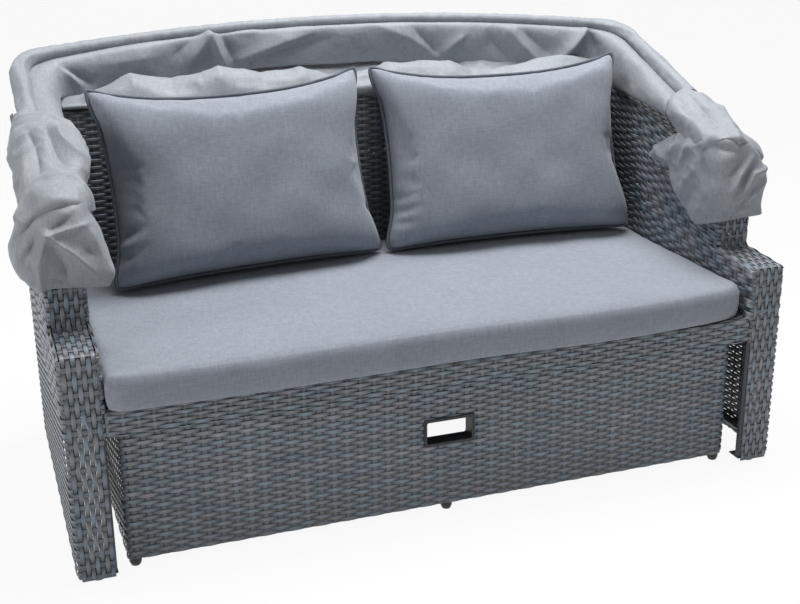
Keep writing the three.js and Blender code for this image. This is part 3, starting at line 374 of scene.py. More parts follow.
def weaving_tree():
    """Guide lines with outward, along, row, wave and width attributes become flat woven strands."""
    tree, given = new_group("woven_strands", {
        "Guides": "Geometry", "Section": "Object", "Stake spacing": "Float", "Wave height": "Float",
        "Strand thickness": "Float", "Strand": "Material"}, "Woven strands")
    read = {}
    for name, kind in [("outward", "FLOAT_VECTOR"), ("along", "FLOAT"), ("row", "FLOAT"), ("wave", "FLOAT"),
                       ("width", "FLOAT")]:
        read[name] = node(tree, "GeometryNodeInputNamedAttribute", {"Name": name}, data_type=kind).outputs[0]
    phase = maths(tree, "ADD", maths(tree, "DIVIDE", read["along"], given["Stake spacing"]), read["row"])
    crest = maths(tree, "COSINE", maths(tree, "MULTIPLY", phase, math.pi))
    crest = maths(tree, "MULTIPLY", crest, read["wave"])
    lift = maths(tree, "MULTIPLY", crest, given["Wave height"])
    offset = node(tree, "ShaderNodeVectorMath", {0: read["outward"], "Scale": lift}, operation="SCALE")
    line = node(tree, "GeometryNodeMeshToCurve", {"Mesh": given["Guides"]})
    line = node(tree, "GeometryNodeStoreNamedAttribute",
                {"Geometry": line.outputs[0], "Name": "crest", "Value": crest}, data_type="FLOAT")
    line = node(tree, "GeometryNodeSetPosition", {"Geometry": line.outputs[0], "Offset": offset.outputs[0]})
    line = node(tree, "GeometryNodeSetCurveNormal", {"Curve": line.outputs[0], "Normal": read["outward"]},
                mode="FREE")
    line = node(tree, "GeometryNodeSetCurveRadius", {"Curve": line.outputs[0], "Radius": 1.0})
    section = node(tree, "GeometryNodeObjectInfo", {"Object": given["Section"]}, transform_space="ORIGINAL")
    section = node(tree, "GeometryNodeMeshToCurve", {"Mesh": section.outputs["Geometry"]})
    size = node(tree, "ShaderNodeCombineXYZ", {"X": given["Strand thickness"], "Y": 1.0, "Z": 1.0})
    section = node(tree, "GeometryNodeTransform", {"Geometry": section.outputs[0], "Scale": size.outputs[0]})
    sweep(tree, {"Curve": line.outputs[0], "Profile Curve": section.outputs[0],
                 "Scale": maths(tree, "MULTIPLY", read["width"], 0.5)}, given["Strand"], "Woven strands")
    return tree


WEAVING = weaving_tree()


def run(points, outward, row, wave=1.0, width=STRAND_WIDTH):
    """A guide line: its places, the way each faces, and where it is in the weave."""
    points = np.asarray(points, float)
    return {"points": points, "outward": np.broadcast_to(np.asarray(outward, float), points.shape),
            "along": lengths_along(points), "row": row, "wave": wave, "width": width}


def stake(points, outward, width=STAKE_WIDTH):
    """A guide line that the rows weave round: it lies flat."""
    return run(points, outward, 0, wave=0.0, width=width)


def straight(start, end, step):
    count = max(int(round(np.linalg.norm(np.subtract(end, start)) / step)), 1)
    return [np.add(start, np.subtract(end, start) * i / count) for i in range(count + 1)]


def weave_piece(name, body, replaced, runs, seed, spacing=STAKE_SPACING):
    """Turns guide lines into one plain mesh of woven strands that stands for CAD nodes."""
    chance = random.Random(seed)
    points, edges = [], []
    values = {"outward": [], "along": [], "row": [], "wave": [], "width": [], "tone": []}
    for guide in runs:
        first = len(points)
        count = len(guide["points"])
        points.extend(guide["points"].tolist())
        edges.extend((first + i, first + i + 1) for i in range(count - 1))
        values["outward"].extend(guide["outward"].ravel())
        values["tone"].extend([chance.random()] * count)
        for label in ("along", "row", "wave", "width"):
            values[label].extend(np.broadcast_to(guide[label], count))
    mesh = line_mesh(name, points, edges)
    for label, store in values.items():
        kind, field = ("FLOAT_VECTOR", "vector") if label == "outward" else ("FLOAT", "value")
        mesh.attributes.new(label, kind, "POINT").data.foreach_set(field, np.asarray(store, np.float32))
    thing = swept_piece(in_scene(name, mesh), WEAVING, {
        "Section": SECTION, "Stake spacing": spacing, "Wave height": WAVE_HEIGHT,
        "Strand thickness": STRAND_THICKNESS / STRAND_WIDTH, "Strand": STRAND})
    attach(thing, body)
    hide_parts(*replaced)


def arc(centre, radius, start, end, steps):
    """Places on an arc and the way they face, in a plane of two coordinates."""
    angles = [start + (end - start) * i / steps for i in range(steps + 1)]
    return [(centre[0] + radius * math.cos(a), centre[1] + radius * math.sin(a)) for a in angles], \
        [(math.cos(a), math.sin(a)) for a in angles]


OUT_FRONT = np.array([0.0, -1.0, 0.0])
OUT_UP = np.array([0.0, 0.0, 1.0])


# Footstool

CORNER = 0.010
STOOL_ROWS_TOP = STOOL_TOP - 0.004
DECK_INSET = 0.0045
HANDLE_HALF = 0.0518
HANDLE_BOTTOM = 0.1542
HANDLE_TOP = 0.2078


def row_heights(bottom, top):
    count = max(int(round((top - bottom) / STRAND_PITCH)), 1)
    return [bottom + (top - bottom) * (i + 0.5) / count for i in range(count)]


def around_corner(sign):
    """From the stool's side face round its vertical front corner, as (across, depth) with facings."""
    places, facings = arc((STOOL_HALF - CORNER, STOOL_FRONT + CORNER), CORNER - WEAVE_HALF,
                          0.0, -math.pi / 2, 4)
    return [(sign * x, d) for x, d in places], [(sign * x, d) for x, d in facings]


def polyline(pairs, facings, height):
    points = [at(x, d, height) for x, d in pairs]
    outward = [np.array([x, d, 0.0]) for x, d in facings]
    return points, outward


def sampled(path, step):
    """Even steps along a path of (x, d) pairs, with its facings."""
    pairs, facings = path
    lengths = lengths_along(pairs)
    wanted = np.linspace(0.0, lengths[-1], max(int(round(lengths[-1] / step)), 1) + 1)
    even, facing = at_lengths(wanted, lengths, pairs), at_lengths(wanted, lengths, facings)
    facing /= np.linalg.norm(facing, axis=1, keepdims=True)
    return even, facing


def stool_front():
    """Rows round both corners, cut off at the handle opening, over stakes on the flat front."""
    runs = []
    left, left_facing = around_corner(-1)
    right, right_facing = around_corner(1)
    side = STOOL_HALF - WEAVE_HALF
    pairs = [(-side, STOOL_FRONT + STRAND_TUCK)] + left + right[::-1] + [(side, STOOL_FRONT + STRAND_TUCK)]
    facings = [(-1.0, 0.0)] + left_facing + right_facing[::-1] + [(1.0, 0.0)]
    even, facing = sampled((pairs, facings), STAKE_SPACING / FINE_STEPS)
    left_count = int((even[:, 0] < -HANDLE_HALF).sum())
    first = int((even[:, 0] <= HANDLE_HALF).sum())
    for index, height in enumerate(row_heights(STOOL_BOTTOM, STOOL_ROWS_TOP)):
        points, outward = polyline(even, facing, height)
        if not HANDLE_BOTTOM < height < HANDLE_TOP:
            runs.append(run(points, outward, index, width=STOOL_STRAND_WIDTH))
            continue
        runs.append(run(points[:left_count], outward[:left_count], index, width=STOOL_STRAND_WIDTH))
        runs.append(run(points[first:], outward[first:], index, width=STOOL_STRAND_WIDTH))
        runs[-1]["along"] += lengths_along(even)[first]
    corner_length = lengths_along(pairs[:len(left) + 1])[-1]
    flat_half = STOOL_HALF - CORNER
    depth = STOOL_FRONT + WEAVE_HALF
    first_stake = math.ceil(corner_length / STAKE_SPACING)
    last_stake = int((2 * flat_half + corner_length) / STAKE_SPACING)
    for k in range(first_stake, last_stake + 1):
        across = -flat_half + k * STAKE_SPACING - corner_length
        spans = [(STOOL_BOTTOM, STOOL_TOP)]
        if abs(across) < HANDLE_HALF:
            spans = [(STOOL_BOTTOM, HANDLE_BOTTOM), (HANDLE_TOP, STOOL_TOP)]
        for low, high in spans:
            runs.append(stake(straight(at(across, depth, low), at(across, depth, high), STOOL_STAKE_STEP),
                              OUT_FRONT, STOOL_STAKE_WIDTH))
    weave_piece("footstool_front_strands", "footstool", ["footstool_front_weave"], runs, 11)


def stool_sides():
    """Rows along one side, round the rear and along the other side."""
    runs = []
    side = STOOL_HALF - WEAVE_HALF
    start = STOOL_FRONT + STRAND_TUCK
    corner, corner_facing = arc((STOOL_HALF - CORNER, STOOL_REAR - CORNER), CORNER - WEAVE_HALF,
                                0.0, math.pi / 2, 4)
    pairs = [(side, start)] + corner + [(-x, d) for x, d in corner[::-1]] + [(-side, start)]
    facings = [(1.0, 0.0)] + corner_facing + [(-x, d) for x, d in corner_facing[::-1]] + [(-1.0, 0.0)]
    even, facing = sampled((pairs, facings), STAKE_SPACING / HIDDEN_STEPS)
    for index, height in enumerate(row_heights(STOOL_BOTTOM, STOOL_ROWS_TOP)):
        runs.append(run(*polyline(even, facing, height), index))
    heights = np.linspace(STOOL_BOTTOM, STOOL_TOP, 3)
    for place, out in zip(even[::HIDDEN_STEPS], facing[::HIDDEN_STEPS]):
        runs.append(stake([at(*place, height) for height in heights], [*out, 0.0]))
    weave_piece("footstool_side_strands", "footstool", ["footstool_side_weave"], runs, 12)


def stool_deck():
    runs = []
    side = STOOL_HALF - DECK_INSET
    height = STOOL_TOP - WEAVE_HALF
    low, high = STOOL_FRONT + DECK_INSET, STOOL_REAR - DECK_INSET
    for index, depth in enumerate(row_heights(low, high)):
        row = straight(at(-side, depth, height), at(side, depth, height), STAKE_SPACING / HIDDEN_STEPS)
        runs.append(run(row, OUT_UP, index))
    for k in range(int(2 * side / STAKE_SPACING) + 1):
        across = -side + k * STAKE_SPACING
        line = straight(at(across, low, height), at(across, high, height), DECK_STAKE_STEP)
        runs.append(stake(line, OUT_UP))
    weave_piece("footstool_top_strands", "footstool", ["footstool_deck_weave"], runs, 13)


stool_front()
stool_sides()
stool_deck()


# Seat and back


def profile_runs(path, steps):
    """Rows along X laid over a (depth, height) path across the bay, with stakes that follow the path."""
    pairs, facings = path
    lengths = lengths_along(pairs)
    runs = []
    for index, length in enumerate(row_heights(0.0, lengths[-1])):
        place = at_lengths(length, lengths, pairs)
        facing = np.array([0.0, *at_lengths(length, lengths, facings)])
        facing /= np.linalg.norm(facing)
        runs.append(run(straight(at(-BAY, *place), at(BAY, *place), STAKE_SPACING / steps), facing, index))
    even, facing = sampled(path, BENT_STAKE_STEP)
    outward = [np.array([0.0, *out]) for out in facing]
    for k in range(int(2 * BAY / STAKE_SPACING) + 1):
        across = -BAY + k * STAKE_SPACING
        runs.append(stake([at(across, *place) for place in even], outward))
    return runs


def bent_path(corners, radius):
    """A (depth, height) path with rounded corners, and the way it faces: to the left of its travel."""
    corners = np.array(corners, float)
    ways = np.diff(corners, axis=0)
    ways /= np.linalg.norm(ways, axis=1, keepdims=True)
    pairs, alongs = [corners[0]], [ways[0]]
    for corner, before, after in zip(corners[1:-1], ways[:-1], ways[1:]):
        turn = math.acos(max(-1.0, min(1.0, float(before @ after))))
        reach = radius * math.tan(turn / 2)
        start, end = corner - before * reach, corner + after * reach
        for share in (0.0, 0.25, 0.5, 0.75, 1.0):
            first, last = start + (corner - start) * share, corner + (end - corner) * share
            along = (1 - share) * before + share * after
            pairs.append(first + (last - first) * share)
            alongs.append(along / np.linalg.norm(along))
    pairs.append(corners[-1])
    alongs.append(ways[-1])
    return np.array(pairs), np.array([(-up, back) for back, up in alongs])


BAY = ARM_INNER - 0.0003
APRON_EDGE = APRON_BOTTOM + WEAVE_HALF
SEAT_FACE = SEAT_TOP - WEAVE_HALF
BACK_FACE = BACK_FRONT + WEAVE_HALF
BACK_CROWN = BACK_TOP - WEAVE_HALF
REAR_FACE = BODY_DEPTH - WEAVE_HALF
BACK_SEAM = BODY_DEPTH - 0.012
seat_path = bent_path([(STRAND_TUCK, APRON_EDGE), (WEAVE_HALF, APRON_EDGE), (WEAVE_HALF, SEAT_FACE),
                       (BACK_FRONT - 0.001, SEAT_FACE)], 0.009)
back_front_path = bent_path([(BACK_FACE, 0.3325), (BACK_FACE, BACK_CROWN), (BACK_SEAM, BACK_CROWN)], 0.010)
back_rear_path = bent_path([(BACK_SEAM, BACK_CROWN), (REAR_FACE, BACK_CROWN), (REAR_FACE, 0.0262)], 0.009)
weave_piece("seat_strands", "sofa", ["seat_weave"], profile_runs(seat_path, HIDDEN_STEPS), 21)
weave_piece("back_front_strands", "sofa", ["back_weave"], profile_runs(back_front_path, FAST_STEPS), 22)
weave_piece("back_rear_strands", "sofa", ["back_weave"], profile_runs(back_rear_path, HIDDEN_STEPS), 23)


# Arms

EDGE_ROUND = 0.009
FAN_BOTTOM = 0.30
FAN_ROWS = 46
SHORT_ROWS = 12
SHORT_ROW_FIRST = 0.06
SHORT_ROW_RANGE = 0.30
SHORT_ROW_TAPER = 0.09
LEAST_FAN_WIDTH = 0.0045
MOST_FAN_WIDTH = 0.0105


def arm_top(depth):
    return ARM_FRONT_TOP + ARM_SLOPE * (depth - STEP_DEPTH)


def fan_heights(depths):
    """Heights of rows that fan from level to the arm's slope; short rows start part of the way back."""
    chance = random.Random(5)
    weights = np.ones((FAN_ROWS, len(depths)))
    for k in set(np.linspace(3, FAN_ROWS - 4, SHORT_ROWS).astype(int).tolist()):
        begin = STEP_DEPTH + SHORT_ROW_FIRST + SHORT_ROW_RANGE * chance.random()
        share = np.clip((depths - begin) / SHORT_ROW_TAPER, 0.0, 1.0)
        weights[k] = share * share * (3 - 2 * share)
    total = weights.sum(axis=0)
    above = np.cumsum(weights, axis=0) - weights / 2
    span = arm_top(depths) - EDGE_ROUND - FAN_BOTTOM
    return FAN_BOTTOM + span * above / total, weights * span / total


def arm_side(name, sign, plane, facing, bottom, steps, seed):
    """One woven side of an arm: level rows below, a fan above, wrapped round the front edge."""
    runs = []
    step = STAKE_SPACING / steps
    out = np.array([facing, 0.0, 0.0])
    face = plane - facing * WEAVE_HALF
    wrap_places, wrap_facing = arc((0.0, 0.0), EDGE_ROUND - WEAVE_HALF, 0.0, math.pi / 2, 3)

    def flat(depths, heights):
        return [at(sign * face, d, h) for d, h in zip(depths, heights)]

    def depths_to(front, start):
        return [p[0] for p in straight((start, 0.0), (front + EDGE_ROUND, 0.0), step)]

    def wrapped(front, depths, heights):
        """A row from the rear to its front end, then round the corner at that front."""
        points = flat(depths, heights)
        outward = [sign * out] * len(points)
        centre = plane - facing * EDGE_ROUND
        for (a, b), (fa, fb) in zip(wrap_places, wrap_facing):
            points.append(at(sign * (centre + facing * a), front + EDGE_ROUND - b, heights[-1]))
            outward.append(np.array([sign * facing * fa, -fb, 0.0]))
        return points, outward

    rear = BODY_DEPTH - EDGE_ROUND
    level_rows = row_heights(bottom, FAN_BOTTOM) if FAN_BOTTOM - bottom > STRAND_PITCH else []
    level_depths = depths_to(0.0, rear)
    for index, height in enumerate(level_rows):
        runs.append(run(*wrapped(0.0, level_depths, [height] * len(level_depths)), index))
    fan_depths = np.array(depths_to(STEP_DEPTH, rear))
    heights, widths = fan_heights(fan_depths)
    post_depths = depths_to(0.0, STEP_DEPTH + EDGE_ROUND - step)
    for k in range(FAN_ROWS):
        shown = widths[k] > LEAST_FAN_WIDTH
        if shown.sum() < 3:
            continue
        depths, row = fan_depths[shown].tolist(), heights[k][shown].tolist()
        wide = [min(w, MOST_FAN_WIDTH) for w in widths[k][shown] * STRAND_WIDTH / STRAND_PITCH]
        if not shown[-1]:
            points, outward = flat(depths, row), sign * out
        elif row[-1] < STEP_HEIGHT - EDGE_ROUND:
            points, outward = wrapped(0.0, depths + post_depths, row + [row[-1]] * len(post_depths))
        elif row[-1] > STEP_HEIGHT + STEP_RISE:
            points, outward = wrapped(STEP_DEPTH, depths, row)
        else:
            step_heights = [STEP_HEIGHT - EDGE_ROUND + STEP_RISE * d / STEP_DEPTH for d in post_depths]
            under_step = [min(row[-1], height) for height in step_heights]
            points, outward = flat(depths + post_depths, row + under_step), sign * out
        runs.append(run(points, outward, len(level_rows) + k,
                        width=wide + [wide[-1]] * (len(points) - len(wide))))
    for k in range(int(BODY_DEPTH / STAKE_SPACING)):
        depth = rear - k * STAKE_SPACING
        top = arm_top(depth) if depth > STEP_DEPTH + EDGE_ROUND else STEP_HEIGHT
        runs.append(stake(straight(at(sign * face, depth, bottom), at(sign * face, depth, top - EDGE_ROUND),
                                   ARM_STAKE_STEP), sign * out))
    weave_piece(f"{name}_strands", "sofa", [f"{name}_weave"], runs, seed)


BAND_PITCH = 0.0089
BAND_SPACING = 0.0245
BAND_STRANDS = 7
BAND_GAP = 0.0004
BAND_STAKE_WIDTH = STAKE_WIDTH + 0.002
CORNER_STRAND_WIDTH = 0.0095
ARM_EDGE_HALF = 0.04


def arm_edge(name, sign, seed):
    """Strands up the post, over the step, up the arm's front, along its slope and down its rear."""
    w = WEAVE_HALF
    corners = [(w, ARM_FOOT), (w, STEP_HEIGHT - w), (STEP_DEPTH + w, STEP_HEIGHT + STEP_RISE - w),
               (STEP_DEPTH + w, ARM_FRONT_TOP - w), (BODY_DEPTH - w, ARM_REAR_TOP - w),
               (BODY_DEPTH - w, ARM_FOOT)]
    even, facing = sampled(bent_path(corners, 0.010), BAND_SPACING / FINE_STEPS)
    outward = [np.array([0.0, *f]) for f in facing]
    centre = (ARM_INNER + HALF_WIDTH) / 2
    runs = []
    for k in range(BAND_STRANDS):
        across = centre + (k - (BAND_STRANDS - 1) / 2) * BAND_PITCH
        points = [at(sign * across, *place) for place in even]
        runs.append(run(points, outward, k, width=BAND_PITCH - BAND_GAP))
    lengths = lengths_along(even)
    reach = (BAND_STRANDS / 2) * BAND_PITCH
    for k in range(int(lengths[-1] / BAND_SPACING) + 1):
        place = at_lengths(k * BAND_SPACING, lengths, even)
        out = np.array([0.0, *at_lengths(k * BAND_SPACING, lengths, facing)])
        out /= np.linalg.norm(out)
        runs.append(stake([at(sign * (centre - reach), *place), at(sign * (centre + reach), *place)], out,
                          BAND_STAKE_WIDTH))
    flat_parts = np.abs(facing[:, 0]) < 0.85
    edges = np.flatnonzero(np.diff(np.concatenate([[0], flat_parts.astype(int), [0]])))
    drop = EDGE_ROUND - w
    for first, last in zip(edges[::2], edges[1::2]):
        for side in (-1, 1):
            lean = np.array([side * sign, 0.0, 0.0])
            points, tilts = [], []
            for pair, out in zip(even[first:last], outward[first:last]):
                face = at(sign * (centre + side * (ARM_EDGE_HALF - EDGE_ROUND)), *pair) - out * drop
                tilts.append((out + lean) / math.sqrt(2))
                points.append(face + tilts[-1] * drop)
            if len(points) > 2:
                runs.append(run(points, tilts, BAND_STRANDS + (side > 0), width=CORNER_STRAND_WIDTH))
    weave_piece(f"{name}_strands", "sofa", [f"{name}_weave"], runs, seed, spacing=BAND_SPACING)


for sign, side_name in [(1, "right"), (-1, "left")]:
    arm_side(f"{side_name}_arm_outer", sign, HALF_WIDTH, 1.0, ARM_FOOT, FAST_STEPS, 30 + sign)
    arm_side(f"{side_name}_arm_inner", sign, ARM_INNER, -1.0, APRON_BOTTOM, FINE_STEPS, 40 + sign)
    arm_edge(f"{side_name}_arm_edge", sign, 50 + sign)

bpy.data.objects.remove(SECTION)


# Cloth


def spline(points, count):
    """Even steps along a smooth line through points."""
    points = np.asarray(points, float)
    knots = np.concatenate([[0.0], np.cumsum(np.sqrt(np.linalg.norm(np.diff(points, axis=0), axis=1)))])
    gaps = np.diff(knots)[:, None]
    slopes = np.diff(points, axis=0) / gaps
    tangents = np.empty_like(points)
    tangents[1:-1] = (slopes[:-1] * gaps[1:] + slopes[1:] * gaps[:-1]) / (gaps[:-1] + gaps[1:])
    tangents[0] = 1.5 * slopes[0] - 0.5 * tangents[1]
    tangents[-1] = 1.5 * slopes[-1] - 0.5 * tangents[-2]
    fine = np.linspace(0.0, knots[-1], 24 * len(points))
    part = np.clip(np.searchsorted(knots, fine, side="right") - 1, 0, len(points) - 2)
    t = ((fine - knots[part]) / gaps[part, 0])[:, None]
    curve = (2 * t**3 - 3 * t**2 + 1) * points[part] + (3 * t**2 - 2 * t**3) * points[part + 1] \
        + ((t**3 - 2 * t**2 + t) * tangents[part] + (t**3 - t**2) * tangents[part + 1]) * gaps[part]
    return even_steps(curve, count)


def cloth_net(rows, across, along):
    """A fine grid of places over a net of listed rows, given in millimetres on the sofa."""
    rows = [[at(*(np.array(place) * MM)) for place in row] for row in rows]
    wide = np.array([spline(row, across) for row in rows])
    return np.array([spline(wide[:, k], along) for k in range(across)]).transpose(1, 0, 2)


def facings(places, cells, outward):
    """The way a grid of cloth faces at each place, turned so that the given cells face outwards."""
    out = np.cross(np.gradient(places, axis=1), np.gradient(places, axis=0))
    out /= np.maximum(np.linalg.norm(out, axis=-1, keepdims=True), 1e-12)
    return -out if (out[cells] * outward).sum() < 0 else out


def from_line(places, line):
    """How far each place is from a line of points, and its share of the way along it."""
    lengths = lengths_along(line)
    distance = np.full(places.shape[:-1], np.inf)
    share = np.zeros(places.shape[:-1])
    for k in range(len(line) - 1):
        way = line[k + 1] - line[k]
        part = np.clip(((places - line[k]) @ way) / (way @ way), 0.0, 1.0)
        away = np.linalg.norm(places - line[k] - part[..., None] * way, axis=-1)
        closer = away < distance
        distance = np.where(closer, away, distance)
        share = np.where(closer, (lengths[k] + part * (lengths[k + 1] - lengths[k])) / lengths[-1], share)
    return distance, share


def fold_lift(places, folds, seen, edge):
    """The height that fold lines raise each place by: (line in mm, width in mm, height in mm, first, last).

    A direction counts as much as its share in seen; a lower edge makes a fold sharper.
    """
    lift = np.zeros(places.shape[:-1])
    for line, width, height, first, last in folds:
        line = np.array([at(*(np.array(place) * MM)) for place in line]) * seen
        distance, share = from_line(places * seen, line)
        fade = np.interp(share, [0.0, 0.35, 0.65, 1.0], [first, 1.0, 1.0, last])
        lift += height * MM * fade * np.exp(-((distance / (width * MM)) ** edge))
    return lift


def rumple(places, size, seed):
    """Uneven ridges of crumpled cloth, from -1 to 1 at each place, about size metres apart."""
    flat = places.reshape(-1, 3) / size + seed * 7.3
    values = 1.0 - 2.4 * np.abs(noise_over(flat)) - 0.9 * np.abs(noise_over(flat * 2.3))
    return np.clip(values, -1.0, 1.0).reshape(places.shape[:-1])


def creases(places, size, seed, grain):
    """Sharp folds drawn out along a direction, from -1 to 1 at each place, about size metres apart."""
    grain = np.array(grain) / np.linalg.norm(grain)
    pulled = places - 0.7 * (places @ grain)[..., None] * grain
    values = 1.0 - 3.0 * np.abs(noise_over(pulled.reshape(-1, 3) / size + seed * 5.1))
    return np.clip(values, -1.0, 1.0).reshape(places.shape[:-1])


def cloth_piece(name, places, replaced):
    """A sheet of the canopy's cloth over a grid of places."""
    thing = thicken(grid_mesh(name, places, CANOPY_CLOTH))
    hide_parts(*replaced)
    return thing


def cord_tree():
    """A round cord along guide lines, for pipings, seams and hems."""
    tree, given = new_group("sewn_cord", {
        "Guide": "Geometry", "Cord radius": "Float", "Cloth": "Material"}, "Cord")
    line = node(tree, "GeometryNodeMeshToCurve", {"Mesh": given["Guide"]})
    ring = node(tree, "GeometryNodeCurvePrimitiveCircle", {"Resolution": 8, "Radius": given["Cord radius"]})
    sweep(tree, {"Curve": line.outputs[0], "Profile Curve": ring.outputs["Curve"]}, given["Cloth"], "Cord")
    return tree


SEWN_CORD = cord_tree()


def sewn_cord(name, line, radius, closed=False):
    edges = [(i, i + 1) for i in range(len(line) - 1)] + ([(len(line) - 1, 0)] if closed else [])
    # The cord's cloth is painted darker than the cloth it is sewn into, standing for the shade beside it
    return swept_piece(in_scene(name, line_mesh(name, line.tolist(), edges)), SEWN_CORD,
                       {"Cord radius": radius, "Cloth": PAINTED_DARK_PIPING_CLOTH})


# Padded pieces


def vertex_values(values, field):
    flat = np.empty(len(values) * 3, np.float32)
    values.foreach_get(field, flat)
    return flat.reshape(-1, 3).astype(float)


def mesh_places(mesh):
    return vertex_values(mesh.vertices, "co")


def mesh_facings(mesh):
    return vertex_values(mesh.vertex_normals, "vector")


def move_to(mesh, places):
    mesh.vertices.foreach_set("co", places.astype(np.float32).ravel())
    mesh.update()


STUFFING_PRESSURE = 4.0
COVER_SLACK = 0.045
MOST_PLUMP = 0.013
PLUMP_FRAMES = 20


def plump(thing):
    """Lets the stuffing push the cover out, with no place moved further than a limit."""
    before = mesh_places(thing.data)
    stuffing = thing.modifiers.new("stuffing", "CLOTH")
    cover = stuffing.settings
    cover.quality = 6
    cover.mass = 0.3
    cover.bending_stiffness = 0.4
    cover.use_pressure = True
    cover.uniform_pressure_force = STUFFING_PRESSURE
    cover.shrink_min = -COVER_SLACK
    cover.effector_weights.gravity = 0.0
    stuffing.point_cache.frame_start = 1
    stuffing.point_cache.frame_end = PLUMP_FRAMES
    for step in range(1, PLUMP_FRAMES + 1):
        bpy.context.scene.frame_set(step)
    graph = bpy.context.evaluated_depsgraph_get()
    after = mesh_places(thing.evaluated_get(graph).data)
    thing.modifiers.clear()
    bpy.context.scene.frame_set(1)
    moved = after - before
    reach = np.linalg.norm(moved, axis=1, keepdims=True)
    move_to(thing.data, before + moved * np.minimum(1.0, MOST_PLUMP / np.maximum(reach, 1e-9)))


PILLOW_HEIGHT = 0.446
PILLOW_WIDTH = 0.612
PILLOW_COLUMNS = 84
PILLOW_ROWS = 62
PILLOW_TILT = math.radians(17.4)
TOP_SAG = 0.040
BOTTOM_SAG = 0.012
SIDE_DRAW_IN = 0.014
FRONT_SWELL = 0.068
REAR_SWELL = 0.048
CORNER_CUT = 0.0095
SAG_EDGE = 2.6
CROWN_FULLNESS = 0.58
GATHER_SIZE = 0.017
GATHER_REACH = 0.02
GATHER_HEIGHT = 0.0055
TUCK_HEIGHT = 1.7
TUCK_EDGE = 1.4
SOFT_SIZE = 0.09
SOFT_HEIGHT = 0.0048
PIPING_RADIUS = 0.0037
PIPING_OFFSET = 0.0022


def pillow(name, turn, tucks):
    """A knife-edged pillow: two crowned faces, puckered along a piped seam."""
    u, v = np.meshgrid(np.linspace(-1, 1, PILLOW_COLUMNS), np.linspace(-1, 1, PILLOW_ROWS))
    sag = np.where(v > 0, TOP_SAG, BOTTOM_SAG)
    cut = CORNER_CUT * np.abs(u * v) ** 10
    x = u * (PILLOW_WIDTH / 2 - SIDE_DRAW_IN * (1 - v**2) - cut)
    z = v * (PILLOW_HEIGHT / 2 - sag * (1 - np.abs(u) ** SAG_EDGE) - cut)
    crown = ((1 - u**6) * (1 - v**6)) ** CROWN_FULLNESS
    front = np.stack([x, -FRONT_SWELL * crown, z], axis=2).reshape(-1, 3)
    rear = np.stack([x, REAR_SWELL * crown, z], axis=2).reshape(-1, 3)
    rows, columns = PILLOW_ROWS, PILLOW_COLUMNS
    fronts = np.arange(rows * columns).reshape(rows, columns)
    inner = np.zeros((rows, columns), bool)
    inner[1:-1, 1:-1] = True
    rears = fronts.copy()
    rears[inner] = rows * columns + np.arange(inner.sum())
    points = np.concatenate([front, rear[inner.ravel()]])
    turned = np.array([[1.0, 0.0, 0.0],
                       [0.0, math.cos(PILLOW_TILT), math.sin(PILLOW_TILT)],
                       [0.0, -math.sin(PILLOW_TILT), math.cos(PILLOW_TILT)]])
    aside = np.array([[math.cos(turn), -math.sin(turn), 0.0], [math.sin(turn), math.cos(turn), 0.0],
                      [0.0, 0.0, 1.0]])
    points = points @ turned.T @ aside.T
    low, high = (np.array(corner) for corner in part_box(name))
    shift = [(low[0] + high[0] - points[:, 0].min() - points[:, 0].max()) / 2,
             high[1] - points[:, 1].max(), low[2] - points[:, 2].min()]
    points += shift
    faces = grid_faces(fronts) + grid_faces(rears, False)
    thing = smooth_piece(f"{name}_cover", points, faces, CUSHION_CLOTH)
    plump(thing)
    places = mesh_places(thing.data)
    out = mesh_facings(thing.data)
    border = np.concatenate([fronts[0, :-1], fronts[:-1, -1], fronts[-1, :0:-1], fronts[:0:-1, 0]])
    seam = places[border]
    distance, share = from_line(places, np.concatenate([seam, seam[:1]]))
    girth = 2 * (PILLOW_WIDTH + PILLOW_HEIGHT)
    gathers = noise_over(np.stack([share * girth / GATHER_SIZE, np.full(len(share), 3.1 * len(name)),
                                   distance / GATHER_REACH], axis=1))
    lift = GATHER_HEIGHT * gathers * np.exp(-distance / GATHER_REACH) * np.clip(distance / 0.006, 0.0, 1.0)
    local = (places - shift) @ aside @ turned
    for (ax, az), (bx, bz), width, height in tucks:
        line = np.array([[ax, 0.0, az], [bx, 0.0, bz]])
        away, along = from_line(local * [1.0, 0.0, 1.0], line)
        faded = np.interp(along, [0.0, 0.2, 1.0], [0.4, 1.0, 0.0])
        tuck = TUCK_HEIGHT * height * faded * np.exp(-((away / width) ** TUCK_EDGE))
        lift += np.where(local[:, 1] < 0.0, tuck, 0.0)
    lift += SOFT_HEIGHT * noise_over(places / SOFT_SIZE) * np.clip(distance / 0.05, 0.0, 1.0)
    lift[border] = 0.0
    move_to(thing.data, places + out * lift[:, None])
    subdivided = thing.modifiers.new("smooth", "SUBSURF")
    subdivided.levels = subdivided.render_levels = 1
    apply_modifiers(thing)
    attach(thing, "sofa")
    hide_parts(name)
    outward = seam - seam.mean(axis=0)
    outward /= np.linalg.norm(outward, axis=1, keepdims=True)
    piping = sewn_cord(f"{name}_piping", seam + outward * PIPING_OFFSET, PIPING_RADIUS, closed=True)
    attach(piping, "sofa")


